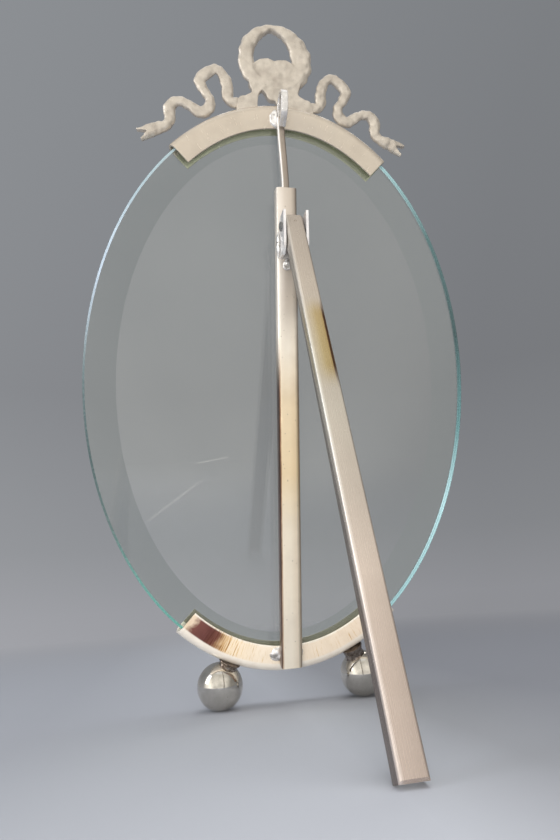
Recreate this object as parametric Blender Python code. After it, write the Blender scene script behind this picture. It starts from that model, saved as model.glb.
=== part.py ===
"""Oval picture frame: a bevelled glass held by two spring-loaded metal mounts, on ball feet and an easel leg.

Every piece is drawn on the upright frame: x across, y towards the back, z up along the glass, with the
origin at the centre of the glass's back face. One empty then leans the whole frame back on to its feet.
"""
import math

import bmesh
import bpy
from mathutils import Matrix, Vector

MM = 0.001

# Gaps: between fixed neighbours, beside a sliding or turning piece, and round a pin
SEAT_GAP = 0.3 * MM
SIDE_GAP = 0.15 * MM
PIN_GAP = 0.1 * MM

# Glass
GLASS_WIDTH = 130 * MM
GLASS_HEIGHT = 187 * MM
GLASS_THICKNESS = 6 * MM
GLASS_RIM = 3.4 * MM
BEVEL_WIDTH = 10 * MM
GLASS_ARRIS = 0.4 * MM

# Half-round channel mounts
MOUNT_WALL = 0.8 * MM
MOUNT_SPAN = 72 * MM
FLANGE_OVERLAP = 7 * MM
FLANGE_FLAT = 5.5 * MM
MOUNT_BULGE = 3.6 * MM
MOUNT_BACK = 1.6 * MM
BOTTOM_OFFSET = -1.2 * MM

# Ball feet and their collars
BALL_DIAMETER = 15 * MM
BALL_BACKSET = 1.0 * MM
BALL_FLAT = 0.2 * MM
FOOT_SPACING = 48.8 * MM
FOOT_OFFSET = -2.0 * MM
COLLAR_RADIUS = 3.6 * MM
COLLAR_BORE = 1.8 * MM

# Spine tube and sliding rod
SPINE_OFFSET = -0.4 * MM
TUBE_WIDTH = 6.9 * MM
TUBE_DEPTH = 4.6 * MM
TUBE_WALL = 0.6 * MM
TUBE_CORNER = 1.0 * MM
TUBE_TOP = 64.6 * MM
TUBE_PAST_FLANGE = 5.5 * MM
ROD_WIDTH = 2.4 * MM
ROD_DEPTH = 2.2 * MM
ROD_CORNER = 0.5 * MM
ROD_IN_TUBE = 78 * MM
ROD_ON_FLANGE = 2.8 * MM
ROD_BEND_ABOVE_TUBE = 1.5 * MM
ROD_SIDESTEP = 1.1 * MM
GUIDE_LENGTH = 4 * MM

# Tension spring and the two pins that hold it
SPRING_RADIUS = 1.15 * MM
SPRING_WIRE = 0.5 * MM
SPRING_TURNS = 18
HOOK_REACH = 2.6 * MM
ROD_PIN_RADIUS = 0.45 * MM
ROD_PIN_HEIGHT = 1.6 * MM
FORK_SLOT_WIDTH = 1.1 * MM
FORK_SLOT_DEPTH = 3.6 * MM
ANCHOR_RADIUS = 0.6 * MM
ANCHOR_HEIGHT = 6 * MM

# Hanging loop
LOOP_OFFSET = 0.5 * MM
LOOP_WIDTH = 2.2 * MM
LOOP_STRIP = 0.9 * MM
LOOP_BEND_RADIUS = 3.6 * MM
LOOP_FOOT_LENGTH = 3.0 * MM
LOOP_DROP = 7.0 * MM

# Easel leg and its hinge
LEG_LENGTH = 151.3 * MM
LEG_WIDTH = 5.9 * MM
LEG_DEPTH = 4 * MM
LEG_WALL = 0.8 * MM
LEG_CORNER = 0.7 * MM
LEG_ABOVE_PIN = 3.5 * MM
LEG_TOP_CHAMFER = 1.2 * MM
LEG_FOOT_CHAMFER = 0.6 * MM
LEG_OPEN = math.radians(33.2)
LEG_SKEW = math.radians(0.66)
HINGE_OFFSET = -1.2 * MM
HINGE_BELOW_TUBE_TOP = 14.8 * MM
PIN_STANDOFF = 4.0 * MM
HINGE_PIN_RADIUS = 0.9 * MM
PIN_HEAD_RADIUS = 1.5 * MM
PIN_HEAD_HEIGHT = 0.6 * MM
EAR_THICKNESS = 0.8 * MM
EAR_ABOVE_PIN = 4.4 * MM
EAR_BELOW_PIN = 9 * MM
EAR_BEHIND_PIN = 3.3 * MM
EAR_CHAMFER = 0.8 * MM
EAR_TOP_SLOPE = math.radians(9)

# Cast crown
CROWN_OFFSET = 1.1 * MM
CROWN_TILT = math.radians(1.2)
CROWN_THICKNESS = 3 * MM
CROWN_BACKSET = 2.4 * MM
WREATH_RADIUS = 12.6 * MM
WREATH_HOLE_RADIUS = 6.2 * MM
WREATH_TIP_WIDTH = 2.5 * MM
WREATH_ABOVE_GLASS = 19.6 * MM
WREATH_LEAVES = 22
LEAF_RELIEF = 0.35 * MM
BOW_THICKNESS = 2.4 * MM
RIBBON_THICKNESS = 2.4 * MM
RIBBON_WIDTH = 3.6 * MM
TAIL_WIDTH = 4.6 * MM

# Points of one half of the bow plate, from its top notch to its foot: across, above the glass's top edge
BOW_HALF = [(0, 18.6), (3.2, 19.4), (6.2, 18.2), (8.8, 14.6), (9.0, 10.6), (8.0, 7.8), (10.4, 6.0), (13.0, 5.9)]
# The arch under one side of the bow: across, above the glass's top edge, ending at the middle of the plate
ARCH = [(6.2, 4.6), (5.7, 6.8), (4.6, 8.3), (3.5, 7.4), (2.6, 5.8), (1.3, 5.0), (0, 4.8)]
# Middle line of a ribbon from the bow's foot to its tail: across, above the glass's top edge
RIBBON_PATH = [(13.5, 3.6), (15.2, 3.9), (16.3, 5.6), (16.4, 8.8), (17.4, 12.2), (19.9, 14.7), (23.1, 13.2), (25.6, 10.3),
               (24.3, 7.1), (22.5, 4.2), (23.0, 1.0), (25.9, -0.4), (29.7, 1.9), (33.7, 2.6), (36.1, 0.0),
               (35.9, -3.3), (37.4, -5.7), (40.6, -7.0), (46.2, -9.4)]

# Solder beads: radii across, out of the surface and along it
BEAD_LARGE = (2.4 * MM, 1.4 * MM, 3.0 * MM)
BEAD_LONG = (3.2 * MM, 1.4 * MM, 2.4 * MM)
BEAD_SMALL = (1.2 * MM, 0.9 * MM, 1.8 * MM)
BEAD_EAR = (0.8 * MM, 1.4 * MM, 4.4 * MM)
BEAD_STRIP = (1.6 * MM, 0.9 * MM, 2.0 * MM)

# Smoothness of the round forms
MOUNT_STATIONS = 24
ARC_STEPS = 6
GLASS_STEPS = 96
BALL_SEGMENTS = 24
PIN_SEGMENTS = 16
WREATH_STATIONS = 66

# Sizes that follow from the ones above
HALF_WIDTH = GLASS_WIDTH / 2
HALF_HEIGHT = GLASS_HEIGHT / 2
FLANGE_EDGE = HALF_HEIGHT - FLANGE_OVERLAP
BEVEL_RISE = (GLASS_THICKNESS - GLASS_RIM) / BEVEL_WIDTH
FLANGE_END = FLANGE_FLAT - FLANGE_OVERLAP
MOUNT_FRONT = -(GLASS_RIM + BEVEL_RISE * FLANGE_OVERLAP) - SEAT_GAP - MOUNT_WALL
MOUNT_MIDDLE = (MOUNT_BACK + MOUNT_FRONT) / 2
MOUNT_HALF_DEPTH = (MOUNT_BACK - MOUNT_FRONT) / 2
WALL_REACH = FLANGE_END + MOUNT_BULGE
MOUNT_END_ANGLE = math.asin(MOUNT_SPAN / 2 / HALF_WIDTH)
BALL_RADIUS = BALL_DIAMETER / 2
TUBE_FRONT = MOUNT_BACK + SEAT_GAP
TUBE_MIDDLE = TUBE_FRONT + TUBE_DEPTH / 2
TUBE_FACE = TUBE_FRONT + TUBE_DEPTH
TUBE_BOTTOM = -(FLANGE_EDGE + TUBE_PAST_FLANGE)
ROD_BOTTOM = TUBE_TOP - ROD_IN_TUBE
ROD_TOP = FLANGE_EDGE + ROD_ON_FLANGE
ROD_SEAT = MOUNT_BACK + SEAT_GAP + ROD_DEPTH / 2
BASE_FRONT = TUBE_FACE + SIDE_GAP
BASE_FACE = BASE_FRONT + EAR_THICKNESS
PIN_BACK = BASE_FACE + PIN_STANDOFF
PIN_HEIGHT = TUBE_TOP - HINGE_BELOW_TUBE_TOP
CROWN_MIDDLE = -CROWN_BACKSET - CROWN_THICKNESS / 2


def clear_scene():
    for item in list(bpy.data.objects):
        bpy.data.objects.remove(item, do_unlink=True)


def finish(name, colour, metallic, roughness, alpha=1.0):
    """A Principled material with the piece's colour."""
    material = bpy.data.materials.new(name)
    material.use_nodes = True
    shader = material.node_tree.nodes["Principled BSDF"]
    shader.inputs["Base Color"].default_value = (*colour, 1.0)
    shader.inputs["Metallic"].default_value = metallic
    shader.inputs["Roughness"].default_value = roughness
    shader.inputs["Alpha"].default_value = alpha
    material.diffuse_color = (*colour, alpha)
    return material


def add_empty(name, parent=None, location=(0, 0, 0), rotation=(0, 0, 0)):
    empty = bpy.data.objects.new(name, None)
    bpy.context.scene.collection.objects.link(empty)
    empty.parent = parent
    empty.location = location
    empty.rotation_euler = rotation
    return empty


def add_piece(name, bm, material, parent, location=(0, 0, 0), rotation=(0, 0, 0)):
    """Turn a bmesh into a named object with its normals out and its round faces smooth."""
    bmesh.ops.recalc_face_normals(bm, faces=bm.faces)
    mesh = bpy.data.meshes.new(name)
    bm.to_mesh(mesh)
    bm.free()
    mesh.shade_smooth()
    mesh.set_sharp_from_angle(angle=math.radians(35))
    mesh.materials.append(material)
    piece = bpy.data.objects.new(name, mesh)
    bpy.context.scene.collection.objects.link(piece)
    piece.parent = parent
    piece.location = location
    piece.rotation_euler = rotation
    return piece


def combine(target, tool, operation="DIFFERENCE"):
    """Cut a tool object from a piece, or join it on, and keep the tool as a hidden guide."""
    boolean = target.modifiers.new(tool.name, "BOOLEAN")
    boolean.operation = operation
    boolean.solver = "EXACT"
    boolean.object = tool
    tool.hide_render = True
    tool.display_type = "WIRE"


def loft(bm, rings, closed=False):
    """Join rings of equal length with quads; a closed loft joins its last ring to its first."""
    loops = [[bm.verts.new(point) for point in ring] for ring in rings]
    pairs = list(zip(loops, loops[1:]))
    if closed:
        pairs.append((loops[-1], loops[0]))
    else:
        bm.faces.new(loops[0])
        bm.faces.new(loops[-1])
    for low, high in pairs:
        for i in range(len(low)):
            j = (i + 1) % len(low)
            bm.faces.new((low[i], low[j], high[j], high[i]))


def arc(centre, radii, start, end, steps):
    """Points on an elliptical arc, both ends included."""
    angles = [start + (end - start) * i / steps for i in range(steps + 1)]
    return [(centre[0] + radii[0] * math.cos(a), centre[1] + radii[1] * math.sin(a)) for a in angles]


def rounded_rectangle(width, depth, corner, steps=3):
    """Outline of a rectangle with round corners, centred on zero."""
    outline = []
    corners = [(1, 1), (-1, 1), (-1, -1), (1, -1)]
    for quarter, (across, along) in enumerate(corners):
        centre = (across * (width / 2 - corner), along * (depth / 2 - corner))
        start = quarter * math.pi / 2
        outline += arc(centre, (corner, corner), start, start + math.pi / 2, steps)
    return outline


def level_ring(outline, height, middle=0.0):
    """A flat ring of x, y points at one height."""
    return [(x, middle + y, height) for x, y in outline]


def smooth_path(points, steps):
    """A Catmull-Rom curve through the points."""
    ends = [2 * points[0] - points[1]] + points + [2 * points[-1] - points[-2]]
    path = []
    for a, b, c, d in zip(ends, ends[1:], ends[2:], ends[3:]):
        for i in range(steps):
            t = i / steps
            path.append(0.5 * (2 * b + (c - a) * t + (2 * a - 5 * b + 4 * c - d) * t * t
                               + (3 * b - a - 3 * c + d) * t ** 3))
    return path + [points[-1]]


def trim(bm, point, normal):
    """Cut away what lies beyond a plane and close the cut."""
    bmesh.ops.triangulate(bm, faces=[face for face in bm.faces if len(face.verts) > 4])
    everything = bm.verts[:] + bm.edges[:] + bm.faces[:]
    bmesh.ops.bisect_plane(bm, geom=everything, dist=0.0001 * MM, plane_co=point, plane_no=normal, clear_outer=True)
    bmesh.ops.holes_fill(bm, edges=[edge for edge in bm.edges if edge.is_boundary])


def rim_point(angle, out=0.0):
    """A point beside the glass's rim, at an angle from its top, this far out along the rim's normal."""
    across = Vector((math.sin(angle) / HALF_WIDTH, math.cos(angle) / HALF_HEIGHT)).normalized()
    return Vector((HALF_WIDTH * math.sin(angle), HALF_HEIGHT * math.cos(angle))) + across * out


def rim_ring(out, depth):
    """A ring that follows the glass's rim at one depth."""
    points = [rim_point(2 * math.pi * i / GLASS_STEPS, out) for i in range(GLASS_STEPS)]
    return [(p.x, depth, p.y) for p in points]


def make_glass(material, parent):
    bm = bmesh.new()
    loft(bm, [rim_ring(-GLASS_ARRIS, 0.0), rim_ring(0.0, -GLASS_ARRIS), rim_ring(0.0, -GLASS_RIM),
              rim_ring(-BEVEL_WIDTH, -GLASS_THICKNESS)])
    return add_piece("glass_oval", bm, material, parent)


def mount_section():
    """The channel's section: out along the rim's normal, and depth."""
    centre = (FLANGE_END, MOUNT_MIDDLE)
    outer = arc(centre, (MOUNT_BULGE, MOUNT_HALF_DEPTH), math.pi / 2, -math.pi / 2, 2 * ARC_STEPS)
    thin = (MOUNT_BULGE - MOUNT_WALL, MOUNT_HALF_DEPTH - MOUNT_WALL)
    inner = arc(centre, thin, -math.pi / 2, math.pi / 2, 2 * ARC_STEPS)
    lips = [(-FLANGE_OVERLAP, MOUNT_FRONT), (-FLANGE_OVERLAP, MOUNT_FRONT + MOUNT_WALL)]
    back_lips = [(-FLANGE_OVERLAP, MOUNT_BACK - MOUNT_WALL), (-FLANGE_OVERLAP, MOUNT_BACK)]
    return outer + lips + inner + back_lips


def make_mount(name, middle_angle, material, parent):
    """One channel, swept along the rim to both sides of its middle."""
    rings = []
    for i in range(MOUNT_STATIONS + 1):
        angle = middle_angle + MOUNT_END_ANGLE * (2 * i / MOUNT_STATIONS - 1)
        points = [(rim_point(angle, out), depth) for out, depth in mount_section()]
        rings.append([(p.x, depth, p.y) for p, depth in points])
    bm = bmesh.new()
    loft(bm, rings)
    return add_piece(name, bm, material, parent)


def crown_to_mount(across):
    """Height of the top mount's outer wall, with the seat gap, at a place across the tilted crown."""
    reach = WALL_REACH + SEAT_GAP
    height = 0.0
    for _ in range(6):
        x = CROWN_OFFSET + across * math.cos(CROWN_TILT) + height * math.sin(CROWN_TILT)
        wall = (HALF_HEIGHT + reach) * math.sqrt(1 - (x / (HALF_WIDTH + reach)) ** 2) - HALF_HEIGHT
        height = (wall + across * math.sin(CROWN_TILT)) / math.cos(CROWN_TILT)
    return height


def wreath_ring_section(angle):
    """Eight points of the wreath at one angle from its tip: distance from its centre, and depth."""
    leaf = LEAF_RELIEF * abs(math.sin(WREATH_LEAVES * angle / 2))
    outer = WREATH_RADIUS - LEAF_RELIEF + leaf
    from_tip = min(angle, 2 * math.pi - angle)
    tip = max(0.0, 1 - from_tip / (math.pi / 2)) ** 1.5
    inner = WREATH_HOLE_RADIUS + (WREATH_RADIUS - WREATH_TIP_WIDTH - WREATH_HOLE_RADIUS) * tip
    back = CROWN_MIDDLE + CROWN_THICKNESS / 2
    front = CROWN_MIDDLE - CROWN_THICKNESS / 2
    round_off = 0.28 * (outer - inner)
    drop = CROWN_THICKNESS / 4
    return [(inner, front + drop), (inner + round_off, front), (outer - round_off, front), (outer, front + drop),
            (outer, back - drop), (outer - round_off, back), (inner + round_off, back), (inner, back - drop)]


def make_bow(parent):
    """The plate under the wreath, with an arch under one side and feet that follow the mount."""
    side = [(x * MM, z * MM) for x, z in BOW_HALF]
    arch = [(x * MM, z * MM) for x, z in ARCH]
    foot = side[-1][0]
    steps = 4
    arch_foot = [foot + (arch[0][0] - foot) * i / steps for i in range(steps + 1)]
    arch_side = side + [(x, crown_to_mount(x)) for x in arch_foot] + arch
    plain_foot = [-foot * (1 - i / (2 * steps)) for i in range(2 * steps)]
    plain_side = [(-x, z) for x, z in side] + [(x, crown_to_mount(x)) for x in plain_foot]
    outline = arch_side + plain_side[::-1][:-1]
    bm = bmesh.new()
    low = CROWN_MIDDLE - BOW_THICKNESS / 2
    loft(bm, [[(x, low, z) for x, z in outline], [(x, low + BOW_THICKNESS, z) for x, z in outline]])
    return add_piece("bow_guide", bm, None, parent)


def make_wreath(material, parent):
    rings = []
    for i in range(WREATH_STATIONS):
        angle = 2 * math.pi * i / WREATH_STATIONS
        section = wreath_ring_section(angle)
        rings.append([(r * math.sin(angle), depth, WREATH_ABOVE_GLASS + r * math.cos(angle)) for r, depth in section])
    bm = bmesh.new()
    loft(bm, rings, closed=True)
    wreath = add_piece("wreath", bm, material, parent)
    combine(wreath, make_bow(parent), "UNION")
    return wreath


def ribbon_width(progress):
    """A ribbon is widest at its foot, at its bends and at its tail."""
    swell = 0.4 * MM * math.cos(progress * 5 * 2 * math.pi)
    tail = max(0.0, (progress - 0.9) / 0.1)
    return (RIBBON_WIDTH + swell) * (1 - tail) + TAIL_WIDTH * tail


def make_ribbon(name, side, material, parent):
    """One wavy ribbon; its tail ends in a V notch."""
    path = smooth_path([Vector((x * MM, z * MM)) for x, z in RIBBON_PATH], 3)
    rings = []
    for i, point in enumerate(path):
        ahead = path[min(i + 1, len(path) - 1)] - path[max(i - 1, 0)]
        across = Vector((-ahead.y, ahead.x)).normalized()
        half = ribbon_width(i / (len(path) - 1)) / 2
        thick = RIBBON_THICKNESS / 2
        section = [(-half, -thick / 2), (-half * 0.6, -thick), (half * 0.6, -thick), (half, -thick / 2),
                   (half, thick / 2), (half * 0.6, thick), (-half * 0.6, thick), (-half, thick / 2)]
        places = [(point + across * out, depth) for out, depth in section]
        rings.append([(side * p.x, CROWN_MIDDLE + depth, p.y) for p, depth in places])
    bm = bmesh.new()
    loft(bm, rings)
    ribbon = add_piece(name, bm, material, parent)
    along = (path[-1] - path[-2]).normalized()
    across = Vector((-along.y, along.x))
    deep = CROWN_THICKNESS
    corners = [path[-1] - along * TAIL_WIDTH * 0.7, path[-1] + along * TAIL_WIDTH * 0.3 + across * TAIL_WIDTH * 0.45,
               path[-1] + along * TAIL_WIDTH * 0.3 - across * TAIL_WIDTH * 0.45]
    notch = bmesh.new()
    loft(notch, [[(side * p.x, CROWN_MIDDLE - deep, p.y) for p in corners],
                 [(side * p.x, CROWN_MIDDLE + deep, p.y) for p in corners]])
    combine(ribbon, add_piece(name + "_notch", notch, None, parent))
    return ribbon


def rim_station(across, out):
    """Angle on the lower rim where a point this far out along the normal lies at a place across the frame."""
    low, high = math.pi / 2, 1.5 * math.pi
    for _ in range(50):
        middle = (low + high) / 2
        if rim_point(middle, out).x > across:
            low = middle
        else:
            high = middle
    return (low + high) / 2


def ball_place(side):
    """Centre of a ball foot. Both stand level, and the ball nearer to the frame's middle touches the mount."""
    reach = WALL_REACH + SEAT_GAP + BALL_RADIUS
    heights = []
    for other in (-1, 1):
        across = FOOT_OFFSET + other * FOOT_SPACING / 2
        heights.append(rim_point(rim_station(across, reach), reach).y)
    return Vector((FOOT_OFFSET + side * FOOT_SPACING / 2, -BALL_BACKSET, min(heights)))


def make_foot(side_name, side, lean, metal, parent):
    """A ball with a small flat to stand on, and the collar round the joint between it and the mount."""
    centre = ball_place(side)
    bm = bmesh.new()
    bmesh.ops.create_uvsphere(bm, u_segments=BALL_SEGMENTS, v_segments=BALL_SEGMENTS // 2, radius=BALL_RADIUS)
    trim(bm, (0, 0, BALL_FLAT - BALL_RADIUS), (0, 0, -1))
    add_piece("foot_ball_" + side_name, bm, metal, parent, location=centre, rotation=(lean, 0, 0))

    angle = rim_station(centre.x, WALL_REACH + SEAT_GAP + BALL_RADIUS)
    start = rim_point(angle, FLANGE_END + MOUNT_BULGE / 2)
    away = Vector((centre.x - start.x, 0, centre.z - start.y))
    turns = [2 * math.pi * i / PIN_SEGMENTS for i in range(PIN_SEGMENTS)]
    outer = [(COLLAR_RADIUS * math.cos(a), COLLAR_RADIUS * math.sin(a)) for a in turns]
    bore = [(COLLAR_BORE * math.cos(a), COLLAR_BORE * math.sin(a)) for a in turns]
    bm = bmesh.new()
    loft(bm, [level_ring(outer, 0.0), level_ring(outer, away.length), level_ring(bore, away.length),
              level_ring(bore, 0.0)], closed=True)
    turn = away.to_track_quat("Z", "Y").to_matrix().to_4x4()
    bmesh.ops.transform(bm, matrix=Matrix.Translation((start.x, centre.y, start.y)) @ turn, verts=bm.verts)
    collar = add_piece("foot_collar_" + side_name, bm, metal, parent)

    bm = bmesh.new()
    bmesh.ops.create_uvsphere(bm, u_segments=BALL_SEGMENTS, v_segments=BALL_SEGMENTS // 2,
                              radius=BALL_RADIUS + SEAT_GAP)
    hollow = add_piece("ball_clearance_" + side_name, bm, None, parent, location=centre, rotation=(lean, 0, 0))
    combine(collar, hollow)
    outline = arc((FLANGE_END, MOUNT_MIDDLE), (MOUNT_BULGE + SEAT_GAP, MOUNT_HALF_DEPTH + SEAT_GAP),
                  math.pi / 2, -math.pi / 2, 2 * ARC_STEPS)
    rings = []
    for i in range(9):
        points = [(rim_point(angle + math.radians(1.5 * (i - 4)), out), depth) for out, depth in outline]
        rings.append([(p.x, depth, p.y) for p, depth in points])
    bm = bmesh.new()
    loft(bm, rings)
    combine(collar, add_piece("wall_clearance_" + side_name, bm, None, parent))


def pin_between(name, radius, length, material, parent, location, segments=PIN_SEGMENTS):
    """A plain round pin that lies across the frame."""
    bm = bmesh.new()
    bmesh.ops.create_cone(bm, cap_ends=True, segments=segments, radius1=radius, radius2=radius, depth=length)
    bmesh.ops.rotate(bm, cent=(0, 0, 0), matrix=Matrix.Rotation(math.pi / 2, 3, "Y"), verts=bm.verts)
    return add_piece(name, bm, material, parent, location=location)


def drill(target, name, pin_radius, length, parent, location):
    """A hole with the pin gap all round a pin that lies across the frame."""
    radius = (pin_radius + PIN_GAP) / math.cos(math.pi / PIN_SEGMENTS)
    combine(target, pin_between(name, radius, length, None, parent, location))


def make_tube(material, parent):
    outer = rounded_rectangle(TUBE_WIDTH, TUBE_DEPTH, TUBE_CORNER)
    inner = rounded_rectangle(TUBE_WIDTH - 2 * TUBE_WALL, TUBE_DEPTH - 2 * TUBE_WALL, TUBE_CORNER - TUBE_WALL)
    rings = [level_ring(outer, TUBE_BOTTOM, TUBE_MIDDLE), level_ring(outer, TUBE_TOP, TUBE_MIDDLE),
             level_ring(inner, TUBE_TOP, TUBE_MIDDLE), level_ring(inner, TUBE_BOTTOM, TUBE_MIDDLE)]
    bm = bmesh.new()
    loft(bm, rings, closed=True)
    tube = add_piece("spine_tube", bm, material, parent)
    drill(tube, "anchor_hole", ANCHOR_RADIUS, 2 * TUBE_WIDTH, parent, anchor_place())
    return tube


def make_guide(material, parent):
    """The bush in the tube's mouth that keeps the rod in line."""
    inset = TUBE_WALL + SIDE_GAP
    outer = rounded_rectangle(TUBE_WIDTH - 2 * inset, TUBE_DEPTH - 2 * inset, TUBE_CORNER - TUBE_WALL)
    slot = rounded_rectangle(ROD_WIDTH + 2 * PIN_GAP, ROD_DEPTH + 2 * PIN_GAP, ROD_CORNER)
    top = TUBE_TOP - SEAT_GAP
    low = top - GUIDE_LENGTH
    rings = [level_ring(outer, low, TUBE_MIDDLE), level_ring(outer, top, TUBE_MIDDLE),
             level_ring(slot, top, TUBE_MIDDLE), level_ring(slot, low, TUBE_MIDDLE)]
    bm = bmesh.new()
    loft(bm, rings, closed=True)
    return add_piece("rod_guide", bm, material, parent)


def rod_pin_place():
    return Vector((0, TUBE_MIDDLE, ROD_BOTTOM + ROD_PIN_HEIGHT))


def anchor_place():
    return Vector((0, TUBE_MIDDLE, TUBE_BOTTOM + ANCHOR_HEIGHT))


def make_rod(material, parent):
    """The rod, bent to meet the mount's flange at its top, with a fork at its lower end."""
    outline = rounded_rectangle(ROD_WIDTH, ROD_DEPTH, ROD_CORNER)
    places = [(0, TUBE_MIDDLE, ROD_BOTTOM), (0, TUBE_MIDDLE, TUBE_TOP + ROD_BEND_ABOVE_TUBE),
              (ROD_SIDESTEP, ROD_SEAT, FLANGE_EDGE - SEAT_GAP), (ROD_SIDESTEP, ROD_SEAT, ROD_TOP)]
    bm = bmesh.new()
    loft(bm, [[(across + x, middle + y, height) for x, y in outline] for across, middle, height in places])
    rod = add_piece("slide_rod", bm, material, parent)
    slot = bmesh.new()
    bmesh.ops.create_cube(slot, size=1.0)
    bmesh.ops.scale(slot, vec=(FORK_SLOT_WIDTH, 2 * ROD_DEPTH, 2 * FORK_SLOT_DEPTH), verts=slot.verts)
    combine(rod, add_piece("fork_slot", slot, None, parent, location=(0, TUBE_MIDDLE, ROD_BOTTOM)))
    drill(rod, "rod_pin_hole", ROD_PIN_RADIUS, 2 * ROD_WIDTH, parent, rod_pin_place())
    return rod


def hook(pin, pin_radius, towards, steps=7):
    """Points of a wire hook round a pin; it opens towards +1, up, or -1, down."""
    radius = pin_radius + PIN_GAP + SPRING_WIRE / 2 + PIN_GAP
    angles = [math.radians(50 - 280 * i / steps) for i in range(steps + 1)]
    return [pin + Vector((0, radius * math.cos(a), -towards * radius * math.sin(-a))) for a in angles]


def make_spring(material, parent):
    """One wire: a hook round the anchor pin, the coil, and a hook round the rod's pin."""
    low, high = anchor_place(), rod_pin_place()
    start = low.z + HOOK_REACH
    end = ROD_BOTTOM - HOOK_REACH
    steps = 8 * SPRING_TURNS
    coil = []
    for i in range(steps + 1):
        angle = math.pi / 2 + 2 * math.pi * i / 8
        coil.append(Vector((SPRING_RADIUS * math.cos(angle), TUBE_MIDDLE + SPRING_RADIUS * math.sin(angle),
                            start + (end - start) * i / steps)))
    lower = hook(low, ANCHOR_RADIUS, 1)
    upper = hook(high, ROD_PIN_RADIUS, -1)
    points = lower[::-1] + coil + upper
    curve = bpy.data.curves.new("tension_spring", "CURVE")
    curve.dimensions = "3D"
    curve.bevel_depth = SPRING_WIRE / 2
    curve.bevel_resolution = 1
    curve.use_fill_caps = True
    spline = curve.splines.new("POLY")
    spline.points.add(len(points) - 1)
    for place, point in zip(spline.points, points):
        place.co = (*point, 1.0)
    curve.materials.append(material)
    spring = bpy.data.objects.new("tension_spring", curve)
    bpy.context.scene.collection.objects.link(spring)
    spring.parent = parent
    return spring


def make_loop(material, parent):
    """The hanging eye: a strip that lies on the flange, curls up and back and ends on the rod."""
    seat = MOUNT_BACK + SEAT_GAP + LOOP_STRIP / 2
    foot = ROD_TOP + SEAT_GAP
    bend = foot + LOOP_FOOT_LENGTH
    centre = (seat + LOOP_BEND_RADIUS, bend)
    curl = arc(centre, (LOOP_BEND_RADIUS, LOOP_BEND_RADIUS), math.pi, 0, 8)
    end = (MOUNT_BACK + SEAT_GAP + ROD_DEPTH + SEAT_GAP + LOOP_STRIP / 2, bend - LOOP_DROP)
    shoulder = (centre[0] + LOOP_BEND_RADIUS * 0.8, bend - LOOP_DROP * 0.55)
    tail = smooth_path([Vector(curl[-1]), Vector(shoulder), Vector(end)], 3)[1:]
    path = [Vector((seat, foot))] + [Vector(p) for p in curl] + tail
    rings = []
    for i, point in enumerate(path):
        ahead = path[min(i + 1, len(path) - 1)] - path[max(i - 1, 0)]
        across = Vector((-ahead.y, ahead.x)).normalized() * LOOP_STRIP / 2
        near, far = point + across, point - across
        half = LOOP_WIDTH / 2
        rings.append([(-half, near.x, near.y), (half, near.x, near.y), (half, far.x, far.y), (-half, far.x, far.y)])
    bm = bmesh.new()
    loft(bm, rings)
    return add_piece("hanging_loop", bm, material, parent, location=(LOOP_OFFSET, 0, 0))


def make_bracket(material, hinge):
    """A folded strip: a base on the tube and two pointed ears that carry the pin. Its origin is the pin's centre."""
    inner = LEG_WIDTH / 2 + SEAT_GAP
    outer = inner + EAR_THICKNESS
    front = BASE_FRONT - PIN_BACK
    face = BASE_FACE - PIN_BACK
    tip = EAR_BEHIND_PIN
    heights = [(-EAR_BELOW_PIN, tip - 3 * EAR_CHAMFER), (3 * EAR_CHAMFER - EAR_BELOW_PIN, tip), (EAR_ABOVE_PIN, tip)]
    rings = []
    for height, end in heights:
        outline = [(-outer, front), (outer, front), (outer, end), (inner, end), (inner, face), (-inner, face),
                   (-inner, end), (-outer, end)]
        rings.append(level_ring(outline, height))
    bm = bmesh.new()
    loft(bm, rings)
    trim(bm, (0, tip, EAR_ABOVE_PIN), Vector((0, -math.sin(EAR_TOP_SLOPE), math.cos(EAR_TOP_SLOPE))))
    bracket = add_piece("hinge_bracket", bm, material, hinge)
    drill(bracket, "ear_hole", HINGE_PIN_RADIUS, 4 * outer, hinge, (0, 0, 0))
    return bracket


def make_hinge_pin(material, hinge):
    """A riveted pin with a head outside each ear."""
    ear_face = LEG_WIDTH / 2 + SEAT_GAP + EAR_THICKNESS + SIDE_GAP
    end = ear_face + PIN_HEAD_HEIGHT
    profile = [(-end, PIN_HEAD_RADIUS * 0.7), (-end + PIN_HEAD_HEIGHT / 2, PIN_HEAD_RADIUS),
               (-ear_face, PIN_HEAD_RADIUS), (-ear_face, HINGE_PIN_RADIUS)]
    profile += [(-x, r) for x, r in reversed(profile)]
    turns = [2 * math.pi * i / PIN_SEGMENTS for i in range(PIN_SEGMENTS)]
    bm = bmesh.new()
    loft(bm, [[(x, r * math.cos(a), r * math.sin(a)) for a in turns] for x, r in profile])
    return add_piece("hinge_pin", bm, material, hinge)


def leg_section():
    """Channel section of the leg, open towards the glass."""
    half, deep = LEG_WIDTH / 2, LEG_DEPTH / 2
    right = arc((half - LEG_CORNER, deep - LEG_CORNER), (LEG_CORNER, LEG_CORNER), 0, math.pi / 2, 3)
    left = [(-x, y) for x, y in reversed(right)]
    web = deep - LEG_WALL
    inside = [(-half, -deep), (-half + LEG_WALL, -deep), (-half + LEG_WALL, web), (half - LEG_WALL, web),
              (half - LEG_WALL, -deep), (half, -deep)]
    return right + left + inside


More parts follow.
